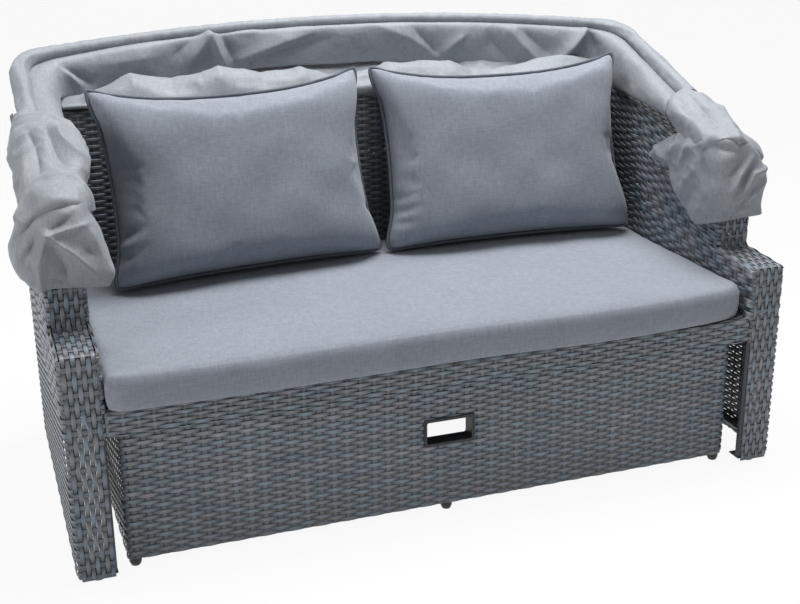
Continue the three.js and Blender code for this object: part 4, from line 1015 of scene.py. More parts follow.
# Each tuck runs from the seam inwards: its two ends (across, up) on the pillow, its width and its depth
LEFT_TUCKS = [
    ((-0.285, 0.052), (-0.215, 0.030), 0.007, -0.0045), ((-0.286, 0.030), (-0.222, 0.022), 0.006, 0.0030),
    ((-0.290, -0.105), (-0.225, -0.080), 0.008, -0.0050), ((-0.292, -0.150), (-0.232, -0.120), 0.007, -0.0045),
    ((-0.290, -0.128), (-0.235, -0.100), 0.006, 0.0030), ((0.285, -0.110), (0.240, -0.090), 0.008, -0.0035),
    ((0.02, 0.180), (0.015, 0.130), 0.012, -0.004), ((-0.10, 0.184), (-0.095, 0.150), 0.010, -0.003),
]
RIGHT_TUCKS = [
    ((0.288, -0.028), (0.236, -0.022), 0.008, -0.0050), ((0.288, -0.040), (0.242, -0.060), 0.007, -0.0040),
    ((0.288, -0.012), (0.245, 0.012), 0.007, -0.0035), ((-0.288, -0.125), (-0.225, -0.115), 0.008, -0.0050),
    ((-0.290, -0.150), (-0.240, -0.150), 0.007, -0.0040), ((-0.289, -0.100), (-0.238, -0.082), 0.006, -0.0035),
]
pillow("left_pillow", math.radians(7.0), LEFT_TUCKS)
pillow("right_pillow", math.radians(-1.3), RIGHT_TUCKS)

# The seat cushion's outline: its front edge as (across, depth), left to right
CUSHION_FRONT = [(-0.6665, 0.004), (-0.650, -0.0135), (-0.560, -0.0185), (-0.410, -0.0200), (-0.187, -0.0145),
                 (-0.069, -0.0105), (0.091, -0.0085), (0.281, -0.0150), (0.439, -0.0105), (0.560, 0.0005),
                 (0.625, 0.0110), (0.655, 0.0270), (0.6665, 0.0560)]
CUSHION_SIDE = 0.6665
CUSHION_REAR = 0.6365
CUSHION_THICKNESS = 0.068
CUSHION_CROWN = 0.008
CUSHION_SOFT = 0.0022
CUSHION_COLUMNS = 132
CUSHION_ROWS = 66
CUSHION_BOTTOM = SEAT_TOP + 0.0005
CUSHION_TOP = CUSHION_BOTTOM + CUSHION_THICKNESS
# The rings of the boxed edge from the bottom up: how far in they are, their height and how far they pucker
CUSHION_RINGS = [(0.0040, CUSHION_BOTTOM, 0.0), (0.0015, CUSHION_BOTTOM + 0.0012, 0.0006),
                 (0.0, CUSHION_BOTTOM + 0.0045, 0.0006)] \
    + [(-0.0035 * math.sin(math.pi * rise / CUSHION_THICKNESS), CUSHION_BOTTOM + rise, 0.0008)
       for rise in np.linspace(0.012, CUSHION_THICKNESS - 0.015, 7)] \
    + [(0.0006, CUSHION_TOP - 0.0100, 0.0010), (0.0028, CUSHION_TOP - 0.0050, 0.0010),
       (0.0068, CUSHION_TOP - 0.0016, 0.0010), (0.0125, CUSHION_TOP, 0.0010)]


def cushion_outline():
    """The cushion's four sides as (across, depth), each from one corner's middle to the next."""
    rear_bend = 0.030
    front = spline([(x, d, 0.0) for x, d in CUSHION_FRONT], 160)[:, :2]
    split_left, split_right = 5, 9
    draw = 0.004
    right = [(CUSHION_SIDE - draw * math.sin(math.pi * s), d)
             for s, d in zip(np.linspace(0, 1, 30), np.linspace(0.070, CUSHION_REAR - rear_bend, 30))]
    bend = [(CUSHION_SIDE - rear_bend * (1 - math.cos(a)), CUSHION_REAR - rear_bend * (1 - math.sin(a)))
            for a in np.linspace(0.0, math.pi / 2, 9)]
    left = [(-x, d) for x, d in right]
    left[0] = (-CUSHION_SIDE, 0.020)
    sides = [front[split_left:len(front) - split_right],
             np.array(front[len(front) - split_right - 1:].tolist() + right + bend[1:5]),
             np.array(bend[4:] + [(-x, d) for x, d in bend[::-1]][:5]),
             np.array(front[split_left::-1].tolist() + left + [(-x, d) for x, d in bend[1:5]])]
    return [even_steps(np.array(side), count)
            for side, count in zip(sides, (CUSHION_COLUMNS, CUSHION_ROWS, CUSHION_COLUMNS, CUSHION_ROWS))]


def across_patch(loop):
    """A grid of (across, depth) over the inside of a closed loop of places."""
    columns, rows = CUSHION_COLUMNS, CUSHION_ROWS
    front = loop[:columns]
    right = loop[columns - 1:columns + rows - 1]
    rear = loop[columns + rows - 2:2 * columns + rows - 2][::-1]
    left = np.concatenate([loop[2 * columns + rows - 3:], loop[:1]])[::-1]
    u = np.linspace(0, 1, columns)[None, :, None]
    v = np.linspace(0, 1, rows)[:, None, None]
    ruled = (1 - v) * front[None] + v * rear[None] + (1 - u) * left[:, None] + u * right[:, None]
    corners = (1 - u) * (1 - v) * front[0] + u * (1 - v) * front[-1] \
        + (1 - u) * v * rear[0] + u * v * rear[-1]
    return ruled - corners


def seat_cushion():
    """A boxed foam cushion: crowned top, sewn edges without piping, and a front that bows out unevenly."""
    front, right, rear, left = cushion_outline()
    loop = np.concatenate([front[:-1], right[:-1], rear[:-1], left[:0:-1]])
    ahead = np.roll(loop, -1, axis=0) - np.roll(loop, 1, axis=0)
    inward = np.stack([-ahead[:, 1], ahead[:, 0]], axis=1) / np.linalg.norm(ahead, axis=1, keepdims=True)
    around = lengths_along(loop)
    rings = []
    for inset, height, pucker in CUSHION_RINGS:
        wave = noise_along(around / 0.03, 11.0, height * 20)
        place = loop + inward * (inset + pucker * wave)[:, None]
        rings.append(np.array([at(x, d, height) for x, d in place]))
    points = list(np.concatenate(rings))
    size = len(loop)
    sides = np.arange(len(points)).reshape(len(rings), size)
    faces = grid_faces(np.concatenate([sides, sides[:, :1]], axis=1))
    border = loop_cells()
    for ring, height, upward in [(0, CUSHION_BOTTOM, False), (len(rings) - 1, CUSHION_TOP, True)]:
        flat = rings[ring][:, :2] - [0.0, FRONT]
        patch = across_patch(flat)
        index = np.full((CUSHION_ROWS, CUSHION_COLUMNS), -1)
        for k, (row, column) in enumerate(border):
            index[row, column] = ring * size + k
        for row in range(1, CUSHION_ROWS - 1):
            for column in range(1, CUSHION_COLUMNS - 1):
                u, v = 2 * column / (CUSHION_COLUMNS - 1) - 1, 2 * row / (CUSHION_ROWS - 1) - 1
                crown = CUSHION_CROWN * (1 - u**6) * (1 - v**4) if upward else 0.0
                index[row, column] = len(points)
                points.append(at(*patch[row, column], height + crown))
        faces += grid_faces(index, upward)
    thing = smooth_piece("seat_cushion_cover", np.array(points), faces, CUSHION_CLOTH)
    places = mesh_places(thing.data)
    out = mesh_facings(thing.data)
    soft = noise_over(places / 0.16) + 0.5 * noise_over(places / 0.05)
    above = np.clip((places[:, 2] - CUSHION_BOTTOM) / CUSHION_THICKNESS, 0.0, 1.0)
    move_to(thing.data, places + out * (CUSHION_SOFT * soft * above)[:, None])
    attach(thing, "sofa")
    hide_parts("seat_cushion")


def loop_cells():
    """The patch's border cells in the order of the outline: front, right, rear, left."""
    columns, rows = CUSHION_COLUMNS, CUSHION_ROWS
    return [(0, c) for c in range(columns - 1)] + [(r, columns - 1) for r in range(rows - 1)] \
        + [(rows - 1, c) for c in range(columns - 1, 0, -1)] + [(r, 0) for r in range(rows - 1, 0, -1)]


seat_cushion()


# Canopy

PIVOT_DEPTH = 0.160
PIVOT_HEIGHT = 0.672
BOW_LEG = 0.579
BOW_ARCH = 0.112
BOW_BEND = 0.070
BOW_SPANS = {"front": 0.724, "middle": 0.704, "rear": 0.684}
REAR_ANGLE = math.asin((BACK_TOP + 0.0323 - PIVOT_HEIGHT) / BOW_LEG)
BOW_ANGLES = {"front": REAR_ANGLE + math.radians(7.0), "middle": REAR_ANGLE + math.radians(3.5),
              "rear": REAR_ANGLE}
SLEEVE_START = 0.222


def bow_reach(share):
    return BOW_LEG + BOW_ARCH * (1 - abs(share) ** 2.2)


def bow_line(span, start, count):
    """Even steps over a bow as (across, distance from the pivots), from its left leg to its right one."""
    most = 1 - BOW_BEND / span
    arch = [(share * span, bow_reach(share)) for share in np.linspace(-most, most, 41)]
    first, corner, last = (np.array(place) for place in [
        (-span, BOW_LEG - BOW_BEND), (-span, BOW_LEG), arch[0]])
    bend = [tuple((1 - t) ** 2 * first + 2 * t * (1 - t) * corner + t * t * last)
            for t in np.linspace(0, 1, 10)[:-1]]
    line = np.array([(-span, start)] + bend + arch + [(-x, y) for x, y in bend[::-1]] + [(span, start)])
    return even_steps(line, count)


def on_bow(line, angle, lift=0.0):
    """Places in a bow's plane, turned up from the rear horizontal about the pivots."""
    line = np.asarray(line)
    depth = PIVOT_DEPTH + line[..., 1] * math.cos(angle) - lift * math.sin(angle)
    height = PIVOT_HEIGHT + line[..., 1] * math.sin(angle) + lift * math.cos(angle)
    return np.stack([line[..., 0], FRONT + depth, height], axis=-1)


def inward_of(line):
    along = np.gradient(line, axis=0)
    along /= np.linalg.norm(along, axis=1, keepdims=True)
    return np.stack([along[:, 1], -along[:, 0]], axis=1)


def arch_share(line, span):
    return 1 - np.minimum(np.abs(line[:, 0]) / span, 1.0) ** 8


def leg_share(line):
    """0 where the cloth starts on a bow's leg, 1 at the leg's end."""
    return np.clip((line[:, 1] - SLEEVE_START) / (BOW_LEG - BOW_BEND - SLEEVE_START), 0.0, 1.0)


def by_place(across, table):
    return np.interp(across, *zip(*table))


SLEEVE_STEPS = 420
SLEEVE_SIDES = 22
SLEEVE_RADIUS = 0.0124
SLEEVE_EDGE = 0.0098
SLEEVE_UNDERSIDE = 0.0060
SEAM_ANGLE = -2.0
SEAM_RADIUS = 0.0013


def front_sleeve():
    """The channel that the front bow runs in: snug on the arch, looser and flatter on the legs."""
    line = bow_line(BOW_SPANS["front"], SLEEVE_START, SLEEVE_STEPS)
    inward = inward_of(line)
    arch = arch_share(line, BOW_SPANS["front"])
    lengths = lengths_along(line)
    loose = np.where(line[:, 0] < 0, 0.0055, 0.0035) * (1 - arch)
    places = np.zeros((SLEEVE_STEPS, SLEEVE_SIDES, 3))
    for side in range(SLEEVE_SIDES):
        turn = SEAM_ANGLE + 2 * math.pi * side / SLEEVE_SIDES
        gathers = noise_along(lengths / 0.024, turn * 0.7, 2.0) \
            + 0.6 * noise_along(lengths / 0.011, turn * 0.7, 5.0)
        lengthwise = np.clip(1.0 - 3.0 * np.abs(noise_along(lengths / 0.13, turn * 1.1, 11.0)), -1.0, 1.0)
        radius = SLEEVE_RADIUS + loose + 0.0012 * gathers + 0.0030 * (1 - arch) * lengthwise
        inner = radius * math.cos(turn)
        up = (radius + 0.4 * loose) * math.sin(turn) + 0.5 * loose
        places[:, side] = on_bow(line + inward * inner[:, None], BOW_ANGLES["front"], up)
    thing = thicken(grid_mesh("canopy_front_sleeve_cloth", places, CANOPY_CLOTH, close_across=True))
    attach(thing, "front_bow")
    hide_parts("canopy_front_sleeve")
    seam = places[:, 0] + (places[:, 0] - places[:, SLEEVE_SIDES // 2]) * 0.06
    stitched = sewn_cord("canopy_sleeve_seam", seam, SEAM_RADIUS)
    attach(stitched, "front_bow")


# Height of the front panel's lower edge, by place across
HEM_HEIGHTS = [(-0.70, 0.790), (-0.55, 0.790), (-0.45, 0.796), (-0.35, 0.808), (-0.22, 0.812), (-0.10, 0.815),
               (0.0, 0.812), (0.10, 0.812), (0.19, 0.806), (0.27, 0.810), (0.35, 0.795), (0.43, 0.778),
               (0.52, 0.780), (0.60, 0.784), (0.70, 0.780)]
# Folds of the front panel, in millimetres on the sofa, with width, height and the share left at each end
FRONT_FOLDS = [
    ([(-296, 795, 893), (-350, 795, 833)], 16, 11, 1.0, 0.3),
    ([(-296, 795, 893), (-262, 795, 820)], 13, 12, 1.0, 0.5),
    ([(-262, 795, 885), (-236, 795, 825)], 13, -9, 0.5, 0.6),
    ([(-330, 795, 888), (-390, 795, 845)], 20, -6, 0.3, 0.2),
    ([(-246, 795, 893), (-160, 795, 896)], 8, 6, 0.3, 0.0),
    ([(-232, 795, 832), (-120, 795, 866), (-35, 795, 888)], 17, 10, 0.7, 0.1),
    ([(-190, 795, 828), (-60, 795, 858), (20, 795, 872)], 14, -7, 0.5, 0.0),
    ([(120, 795, 888), (190, 795, 862), (264, 795, 817)], 18, 8, 0.1, 0.8),
    ([(200, 795, 886), (270, 795, 815)], 12, -8, 0.3, 1.0),
    ([(345, 795, 872), (302, 795, 842), (272, 795, 815)], 14, 8, 0.0, 0.9),
    ([(435, 795, 878), (475, 795, 832), (515, 795, 794), (570, 795, 790)], 15, 10, 0.2, 0.6),
    ([(465, 795, 876), (545, 795, 806)], 14, -7, 0.1, 0.6),
    ([(380, 795, 870), (440, 795, 800)], 18, -6, 0.0, 0.6),
    ([(565, 780, 796), (606, 775, 836), (632, 770, 862)], 15, 20, 0.5, 1.0),
    ([(642, 770, 852), (648, 765, 800)], 15, -24, 0.8, 0.9),
    ([(-560, 780, 846), (-400, 790, 858)], 30, 7, 0.2, 0.1),
    ([(-640, 770, 850), (-600, 775, 812)], 12, 12, 0.5, 0.8),
    ([(-628, 775, 850), (-575, 780, 812)], 10, -12, 0.6, 0.7),
]
# The folds' share of their listed height, their sharpness, and the crumples' and creases' heights and sizes
FOLD_SHARE = 1.5
PANEL_FOLD_EDGE = 1.2
END_FOLD_EDGE = 1.15
PANEL_CRUMPLES = [(0.0026, 0.16), (0.0008, 0.045)]
REAR_CRUMPLE, REAR_CRUMPLE_SIZE = 0.0045, 0.14
REAR_CREASE, REAR_CREASE_SIZE = 0.0035, 0.07
END_CRUMPLE, END_CRUMPLE_SIZE = 0.0040, 0.085
END_CREASE, END_CREASE_SIZE = 0.0042, 0.060
LIP_PLACE, LIP_WIDTH = 0.84, 0.07
HEM_CURL_OUT, HEM_CURL_DOWN = 0.008, 0.006
SLACK_DEPTH = 0.010


def front_panel():
    """The slack cloth that hangs from the front bow, over the lower bows' legs and inside them."""
    steps, drops, curls = 500, 30, 8
    start = bow_line(BOW_SPANS["front"], SLEEVE_START, steps)
    end = bow_line(BOW_SPANS["rear"], SLEEVE_START, steps)
    start = start + inward_of(start) * SLEEVE_EDGE
    arch = arch_share(end, BOW_SPANS["rear"])
    reach_in = 0.016 + np.where(end[:, 0] < 0, 0.020, 0.004) * (1 - arch)
    end = end + inward_of(end) * reach_in[:, None]
    top = on_bow(start, BOW_ANGLES["front"], -SLEEVE_UNDERSIDE)
    bottom = on_bow(end, BOW_ANGLES["front"])
    hem = by_place(end[:, 0], HEM_HEIGHTS)
    leg_hem = bottom[:, 2] - (0.030 + 0.070 * leg_share(end))
    over_back = np.clip((bottom[:, 1] - FRONT - 0.60) / 0.07, 0.0, 1.0)
    leg_hem = leg_hem + over_back * (np.maximum(leg_hem, 0.795) - leg_hem)
    lowest = arch * hem + (1 - arch) * leg_hem
    outward = np.concatenate([-inward_of(end) * [[1.0, math.cos(BOW_ANGLES["front"])]],
                              np.zeros((steps, 1))], axis=1)
    rows = []
    for t in np.linspace(0.0, 1.0, drops):
        angle = t * math.pi / 2
        inward_share = math.sin(angle) ** 0.667
        down_share = 1 - math.cos(angle) ** 0.85
        place = top + (bottom - top) * inward_share
        place[:, 2] = top[:, 2] + (bottom[:, 2] - top[:, 2]) * inward_share * (1 - down_share) \
            + (lowest - top[:, 2]) * down_share
        rows.append(place - outward * (SLACK_DEPTH * math.sin(math.pi * t) * arch)[:, None])
    for a in np.linspace(0.35, 2.9, curls):
        place = rows[drops - 1] + outward * HEM_CURL_OUT * (1 - math.cos(a))
        place[:, 2] -= HEM_CURL_DOWN * math.sin(a)
        rows.append(place)
    places = np.array(rows)
    out = facings(places, (drops // 2, steps // 2), OUT_FRONT)
    down = np.linspace(0.0, 1.0, drops + curls)[:, None]
    fade = np.clip(down / 0.25, 0.0, 1.0)
    on_arch = arch_share(end, BOW_SPANS["rear"] + 0.03)
    lift = FOLD_SHARE * fold_lift(places, FRONT_FOLDS, (1.0, 0.0, 1.0), PANEL_FOLD_EDGE) * on_arch
    for seed, (height, size) in enumerate(PANEL_CRUMPLES, 1):
        lift = lift + height * rumple(places, size, seed)
    places = places + out * (lift * fade)[..., None]
    thing = cloth_piece("canopy_front_panel_cloth", places, ["canopy_front_panel"])
    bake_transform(thing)


# How far the cloth lies from the middle of the bow it goes over
MIDDLE_RADIUS = 0.0105


def middle_panel():
    """The cloth between the middle and the rear bow, gathered up below the middle one."""
    steps, drops, over_bow = 420, 16, 0.45
    line = bow_line(BOW_SPANS["middle"], SLEEVE_START, steps)
    arch = arch_share(line, BOW_SPANS["middle"])
    base = on_bow(line, BOW_ANGLES["middle"])
    side = np.sign(line[:, 0])
    waves = noise_along(lengths_along(line) / 0.06, 8.0, 1.0)
    drop = 0.024 + 0.010 * leg_share(line) + 0.004 * waves
    near_bend = (np.abs(line[:, 0]) > BOW_SPANS["middle"] - 2 * BOW_BEND) \
        & (line[:, 1] > BOW_LEG - 2 * BOW_BEND)
    drop = np.where(near_bend, np.minimum(drop, 0.020), drop)
    rows = []
    for t in np.linspace(0.0, 1.0, drops):
        place = base.copy()
        if t < over_bow:
            turn = t / over_bow * math.pi
            place[:, 1] += MIDDLE_RADIUS * math.cos(turn) * arch
            place[:, 0] += MIDDLE_RADIUS * side * math.cos(turn) * (1 - arch)
            place[:, 2] += MIDDLE_RADIUS * math.sin(turn)
        else:
            share = (t - over_bow) / (1 - over_bow)
            place[:, 1] -= (MIDDLE_RADIUS + (0.004 + 0.005 * waves) * share) * arch
            place[:, 0] -= side * MIDDLE_RADIUS * (1 - arch)
            place[:, 2] -= drop * share
        rows.append(place)
    thing = cloth_piece("canopy_middle_panel_cloth", np.array(rows), ["canopy_middle_panel"])
    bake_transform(thing)


# How high the rear panel puffs up over the back, by place across
PUFF_HEIGHTS = [(-0.645, 0.783), (-0.60, 0.788), (-0.56, 0.802), (-0.49, 0.824), (-0.40, 0.808),
                (-0.335, 0.818), (-0.296, 0.834), (-0.20, 0.812), (-0.106, 0.824), (-0.036, 0.794),
                (0.03, 0.798), (0.10, 0.818), (0.20, 0.812), (0.26, 0.816), (0.314, 0.794), (0.406, 0.786),
                (0.446, 0.796), (0.52, 0.806), (0.594, 0.802), (0.645, 0.790)]


def rear_panel():
    """The cloth from the rear bow forwards, which puffs up over the back and ends on its front."""
    steps, drops = 320, 44
    line = bow_line(BOW_SPANS["rear"], SLEEVE_START, 700)
    line = line[np.abs(line[:, 0]) < 0.6445]
    line = line[np.linspace(0, len(line) - 1, steps).astype(int)]
    under = on_bow(line, BOW_ANGLES["rear"], -MIDDLE_RADIUS)
    columns = []
    for across, start in zip(line[:, 0], under):
        puff = float(by_place(across, PUFF_HEIGHTS)) + 0.004 * noise.noise(Vector((across / 0.05, 4.0, 0.0)))
        start_depth = start[1] - FRONT
        hem = 0.757 + 0.013 * min(max((abs(across) - 0.54) / 0.06, 0.0), 1.0)
        valley = 0.778 + 0.006 * noise.noise(Vector((across / 0.07, 9.0, 0.0)))
        path = [(start_depth, start[2]), (max(start_depth - 0.035, 0.75), (start[2] + valley) / 2),
                (0.742, max(valley, BACK_TOP + 0.008)), (0.712, puff - 0.008), (0.688, puff),
                (0.655, puff - 0.016), (0.6365, 0.778), (0.6362, hem)]
        columns.append(spline([at(across, *place) for place in path], drops))
    places = np.array(columns).transpose(1, 0, 2)
    down = np.linspace(0.0, 1.0, drops)[:, None]
    out = facings(places, (30, steps // 2), OUT_UP)
    loose = np.clip(down / 0.15, 0, 1) * np.clip((0.86 - down) / 0.1, 0, 1)
    rough = REAR_CRUMPLE * rumple(places, REAR_CRUMPLE_SIZE, 3) \
        + REAR_CREASE * creases(places, REAR_CREASE_SIZE, 4, (0.7, 0.2, -0.6))
    places = places + out * (rough * loose)[..., None]
    thing = cloth_piece("canopy_rear_panel_cloth", places, ["canopy_rear_panel"])
    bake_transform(thing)


front_sleeve()
front_panel()
middle_panel()
rear_panel()


# The gathered ends: rows of (across, depth, height) in millimetres from the inner to the outer edge
RIGHT_SADDLE = [
    [(668, 372, 722), (671, 371, 746), (712, 372, 763), (744, 372, 752), (749, 372, 722)],
    [(660, 338, 708), (664, 336, 742), (712, 330, 758), (755, 335, 738), (760, 338, 705)],
    [(656, 300, 682), (660, 295, 728), (714, 287, 747), (762, 292, 716), (768, 300, 678)],
    [(654, 246, 664), (659, 232, 712), (716, 225, 729), (766, 232, 690), (772, 244, 655)],
    [(653, 192, 668), (658, 176, 702), (718, 169, 708), (766, 172, 668), (773, 190, 640)],
    [(654, 156, 682), (661, 138, 700), (716, 128, 694), (764, 142, 654), (772, 172, 628)],
    [(658, 160, 668), (665, 144, 688), (716, 138, 682), (758, 148, 642), (766, 180, 622)],
]
RIGHT_FLAP = [
    [(664, 300, 686), (666, 240, 700), (715, 222, 714), (757, 235, 690), (764, 290, 668)],
    [(659, 337, 669), (664, 180, 694), (716, 170, 700), (760, 178, 664), (767, 270, 640)],
    [(661, 432, 607), (662, 142, 696), (716, 134, 686), (760, 138, 652), (770, 250, 620)],
    [(655, 322, 600), (661, 131, 664), (716, 122, 655), (765, 132, 630), (773, 240, 600)],
    [(653, 304, 572), (660, 128, 620), (716, 116, 610), (768, 128, 600), (774, 232, 575)],
    [(652, 262, 532), (660, 129, 572), (716, 117, 568), (768, 127, 565), (773, 222, 548)],
    [(655, 200, 499), (664, 132, 520), (716, 124, 527), (765, 127, 529), (770, 215, 525)],
]
LEFT_SADDLE = [
    [(-646, 440, 742), (-650, 445, 776), (-704, 462, 802), (-750, 462, 797), (-760, 460, 748)],
    [(-641, 385, 722), (-640, 385, 762), (-706, 400, 792), (-760, 402, 772), (-767, 400, 704)],
    [(-642, 310, 690), (-638, 302, 746), (-710, 325, 764), (-764, 318, 736), (-772, 310, 680)],
    [(-654, 255, 672), (-657, 250, 720), (-712, 258, 744), (-762, 250, 705), (-770, 240, 656)],
    [(-650, 200, 664), (-654, 196, 700), (-714, 200, 724), (-764, 190, 686), (-776, 180, 640)],
    [(-662, 160, 664), (-670, 150, 686), (-716, 138, 692), (-768, 150, 658), (-783, 170, 622)],
    [(-666, 166, 650), (-674, 158, 672), (-716, 146, 680), (-762, 156, 648), (-776, 180, 612)],
]
LEFT_FLAP = [
    [(-662, 300, 680), (-664, 230, 696), (-715, 215, 712), (-758, 225, 690), (-764, 290, 664)],
    [(-660, 300, 664), (-666, 170, 690), (-715, 160, 698), (-765, 168, 660), (-772, 280, 640)],
    [(-656, 280, 640), (-668, 142, 672), (-718, 132, 676), (-774, 146, 640), (-780, 265, 618)],
    [(-652, 240, 612), (-646, 130, 634), (-720, 120, 640), (-784, 134, 612), (-786, 250, 598)],
    [(-648, 205, 582), (-632, 127, 590), (-716, 114, 596), (-788, 130, 588), (-786, 235, 578)],
    [(-648, 170, 556), (-627, 125, 560), (-710, 116, 564), (-776, 128, 562), (-778, 220, 556)],
    [(-652, 150, 532), (-638, 128, 535), (-704, 124, 542), (-755, 124, 543), (-768, 205, 538)],
]
RIGHT_SADDLE_FOLDS = [
    ([(676, 340, 750), (668, 290, 728), (664, 240, 706)], 12, -5, 0.3, 0.6),
    ([(724, 360, 764), (730, 280, 742), (738, 200, 712)], 14, 5, 0.0, 0.4),
    ([(700, 350, 762), (694, 260, 738), (690, 190, 716)], 12, -5, 0.0, 0.6),
    ([(752, 330, 738), (758, 260, 708)], 10, -4, 0.2, 0.2),
]
RIGHT_FLAP_FOLDS = [
    ([(727, 120, 657), (695, 120, 624), (678, 120, 589), (681, 120, 561)], 6, 8, 0.6, 0.2),
    ([(705, 120, 650), (669, 125, 618)], 13, -7, 0.5, 0.5),
    ([(734, 118, 590), (710, 118, 561)], 5, 5, 0.2, 0.2),
    ([(766, 125, 631), (729, 116, 624), (710, 116, 589), (695, 118, 570)], 6, 8, 0.7, 0.2),
    ([(729, 118, 645), (705, 118, 606), (690, 118, 587)], 8, -6, 0.3, 0.4),
    ([(717, 118, 574), (705, 118, 557)], 6, -5, 0.3, 0.3),
    ([(672, 128, 545), (720, 120, 548)], 7, 4, 0.2, 0.2),
]
LEFT_SADDLE_FOLDS = [
    ([(-655, 425, 774), (-690, 436, 796), (-748, 436, 788)], 6, 6, 0.5, 0.5),
    ([(-652, 404, 768), (-690, 414, 790), (-752, 414, 780)], 6, -6, 0.5, 0.5),
    ([(-735, 400, 765), (-726, 320, 762), (-730, 230, 728)], 10, -8, 0.2, 0.6),
    ([(-690, 400, 778), (-676, 330, 764), (-650, 290, 745)], 10, 7, 0.3, 0.8),
    ([(-700, 380, 776), (-692, 300, 760), (-668, 230, 722)], 9, -6, 0.3, 0.4),
    ([(-756, 380, 728), (-764, 300, 700), (-770, 220, 668)], 10, -8, 0.2, 0.2),
    ([(-748, 340, 745), (-750, 250, 715), (-758, 190, 690)], 9, 6, 0.2, 0.2),
    ([(-690, 250, 738), (-660, 190, 700)], 9, 7, 0.3, 0.6),
]
LEFT_FLAP_FOLDS = [
    ([(-734, 118, 640), (-752, 118, 590), (-750, 122, 545)], 6, 8, 0.8, 0.6),
    ([(-734, 120, 640), (-690, 116, 606), (-650, 124, 560)], 6, 9, 0.8, 0.3),
    ([(-722, 120, 618), (-712, 114, 590), (-702, 118, 552)], 9, -7, 0.5, 0.3),
    ([(-756, 122, 634), (-774, 130, 600)], 10, -8, 0.6, 0.5),
    ([(-690, 128, 668), (-722, 122, 650)], 8, -7, 0.4, 0.6),
    ([(-734, 122, 640), (-700, 124, 648), (-655, 130, 652)], 6, 6, 0.7, 0.2),
    ([(-674, 116, 616), (-652, 118, 596)], 9, -6, 0.3, 0.3),
    ([(-740, 118, 566), (-704, 118, 552)], 6, -4, 0.2, 0.2),
]


def gathered_end(side_name, part, rows, folds, seen, across, along, seed, grain, lip):
    """Cloth over a net of rows, with fold lines, crumples drawn out along the grain and a lip at its end."""
    places = cloth_net(rows, across, along)
    out = facings(places, along // 3, [0.0, -0.5, 1.0])
    lift = FOLD_SHARE * fold_lift(places, folds, seen, END_FOLD_EDGE) \
        + END_CRUMPLE * rumple(places, END_CRUMPLE_SIZE, seed) \
        + END_CREASE * creases(places, END_CREASE_SIZE, seed + 1, grain)
    way = np.linspace(0.0, 1.0, along)[:, None]
    lift = lift + lip * np.exp(-(((way - LIP_PLACE) / LIP_WIDTH) ** 2))
    return cloth_piece(f"{side_name}_canopy_{part}", places + out * lift[..., None],
                       [f"{side_name}_canopy_end_drape"])


for side_name, saddle, saddle_folds, saddle_seed, flap, flap_folds, flap_seed, pull in [
        ("right", RIGHT_SADDLE, RIGHT_SADDLE_FOLDS, 5, RIGHT_FLAP, RIGHT_FLAP_FOLDS, 13, (-0.75, 0.0, -0.65)),
        ("left", LEFT_SADDLE, LEFT_SADDLE_FOLDS, 9, LEFT_FLAP, LEFT_FLAP_FOLDS, 17, (0.55, 0.0, -0.75))]:
    upper = gathered_end(side_name, "end_saddle", saddle, saddle_folds, (1.0, 1.0, 0.25), 110, 120,
                         saddle_seed, (0.3 * pull[0], -1.0, -0.3), 0.006)
    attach(upper, "front_bow")
    lower = gathered_end(side_name, "end_flap", flap, flap_folds, (1.0, 0.2, 1.0), 170, 110,
                         flap_seed, pull, 0.0)
    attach(lower, "sofa")
    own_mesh(lower)


# Floor, light and camera


def seen_share(tree):
    """1 for what the camera, a mirror or a glass sees, 0 for what only lights other surfaces."""
    path = node(tree, "ShaderNodeLightPath").outputs
    seen = maths(tree, "MAXIMUM", path["Is Camera Ray"], path["Is Glossy Ray"])
    return maths(tree, "MAXIMUM", seen, path["Is Transmission Ray"])


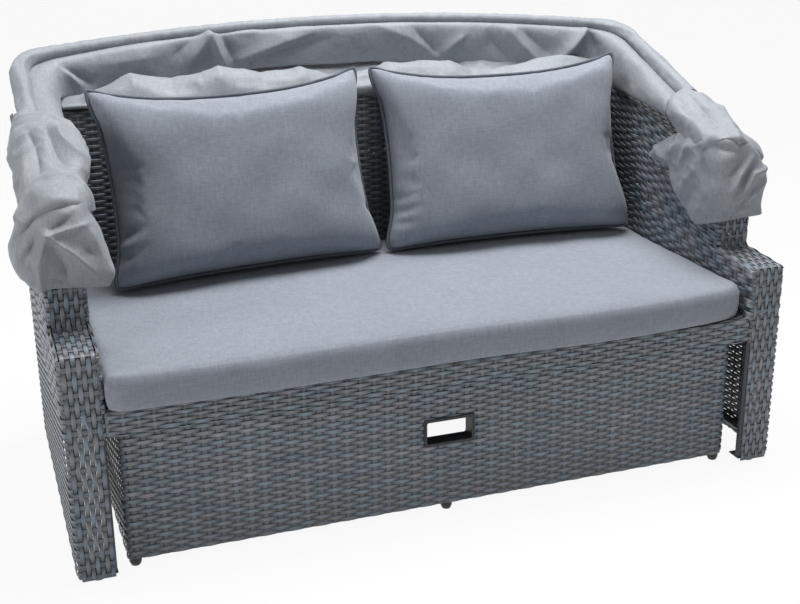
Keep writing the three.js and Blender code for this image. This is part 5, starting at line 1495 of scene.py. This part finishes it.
def pale_stage(name, strength_share):
    """Nearly white where it is seen, and a pale diffuse surface that keeps part of the shadow."""
    made = bpy.data.materials.new(name)
    made.use_nodes = True
    tree = made.node_tree
    tree.nodes.clear()
    share = maths(tree, "MULTIPLY", seen_share(tree), strength_share)
    pale = node(tree, "ShaderNodeBsdfDiffuse", {"Color": (0.92, 0.92, 0.92, 1.0)})
    white = node(tree, "ShaderNodeEmission", {"Color": (1.0, 1.0, 1.0, 1.0), "Strength": 1.0})
    mixed = node(tree, "ShaderNodeMixShader", {0: share, 1: pale.outputs[0], 2: white.outputs[0]})
    node(tree, "ShaderNodeOutputMaterial", {"Surface": mixed.outputs[0]})
    return made


FLOOR_HALF = 12.0
floor_mesh = bpy.data.meshes.new("studio_floor")
floor_mesh.from_pydata([(x * FLOOR_HALF, y * FLOOR_HALF, 0) for x, y in [(-1, -1), (1, -1), (1, 1), (-1, 1)]],
                       [], [(0, 1, 2, 3)])
floor_mesh.materials.append(pale_stage("pale_floor", 0.93))
floor = in_scene("studio_floor", floor_mesh)

world = bpy.data.worlds.new("pale_studio")
bpy.context.scene.world = world
world.use_nodes = True
sky = world.node_tree
sky.nodes.clear()
lit = node(sky, "ShaderNodeBackground", {"Color": (0.93, 0.96, 1.0, 1.0), "Strength": 0.18})
white = node(sky, "ShaderNodeBackground", {"Color": (1.0, 1.0, 1.0, 1.0), "Strength": 1.0})
mixed = node(sky, "ShaderNodeMixShader", {0: seen_share(sky), 1: lit.outputs[0], 2: white.outputs[0]})
node(sky, "ShaderNodeOutputWorld", {"Surface": mixed.outputs[0]})


def lamp(name, place, target, size, power):
    light = bpy.data.lights.new(name, "AREA")
    light.shape = "DISK"
    light.size = size
    light.energy = power
    thing = in_scene(name, light)
    thing.location = place
    thing.rotation_euler = (Vector(target) - Vector(place)).to_track_quat("-Z", "Y").to_euler()


lamp("overhead_softbox", (0.45, 0.2, 3.3), (0.0, -0.05, 0.4), 2.0, 124.0)
lamp("left_fill", (-3.7, -1.2, 1.8), (0.0, 0.0, 0.4), 1.6, 36.0)

camera_data = bpy.data.cameras.new("photo_camera")
camera_data.sensor_width = 36.0
camera_data.lens = 56.65
camera = in_scene("photo_camera", camera_data)
camera.location = (-0.8601, FRONT - 2.1095, 1.2582)
camera.rotation_euler = tuple(math.radians(a) for a in (70.78559, 0.5202, -19.66876))
bpy.context.scene.camera = camera

bpy.context.scene.view_settings.view_transform = "Standard"
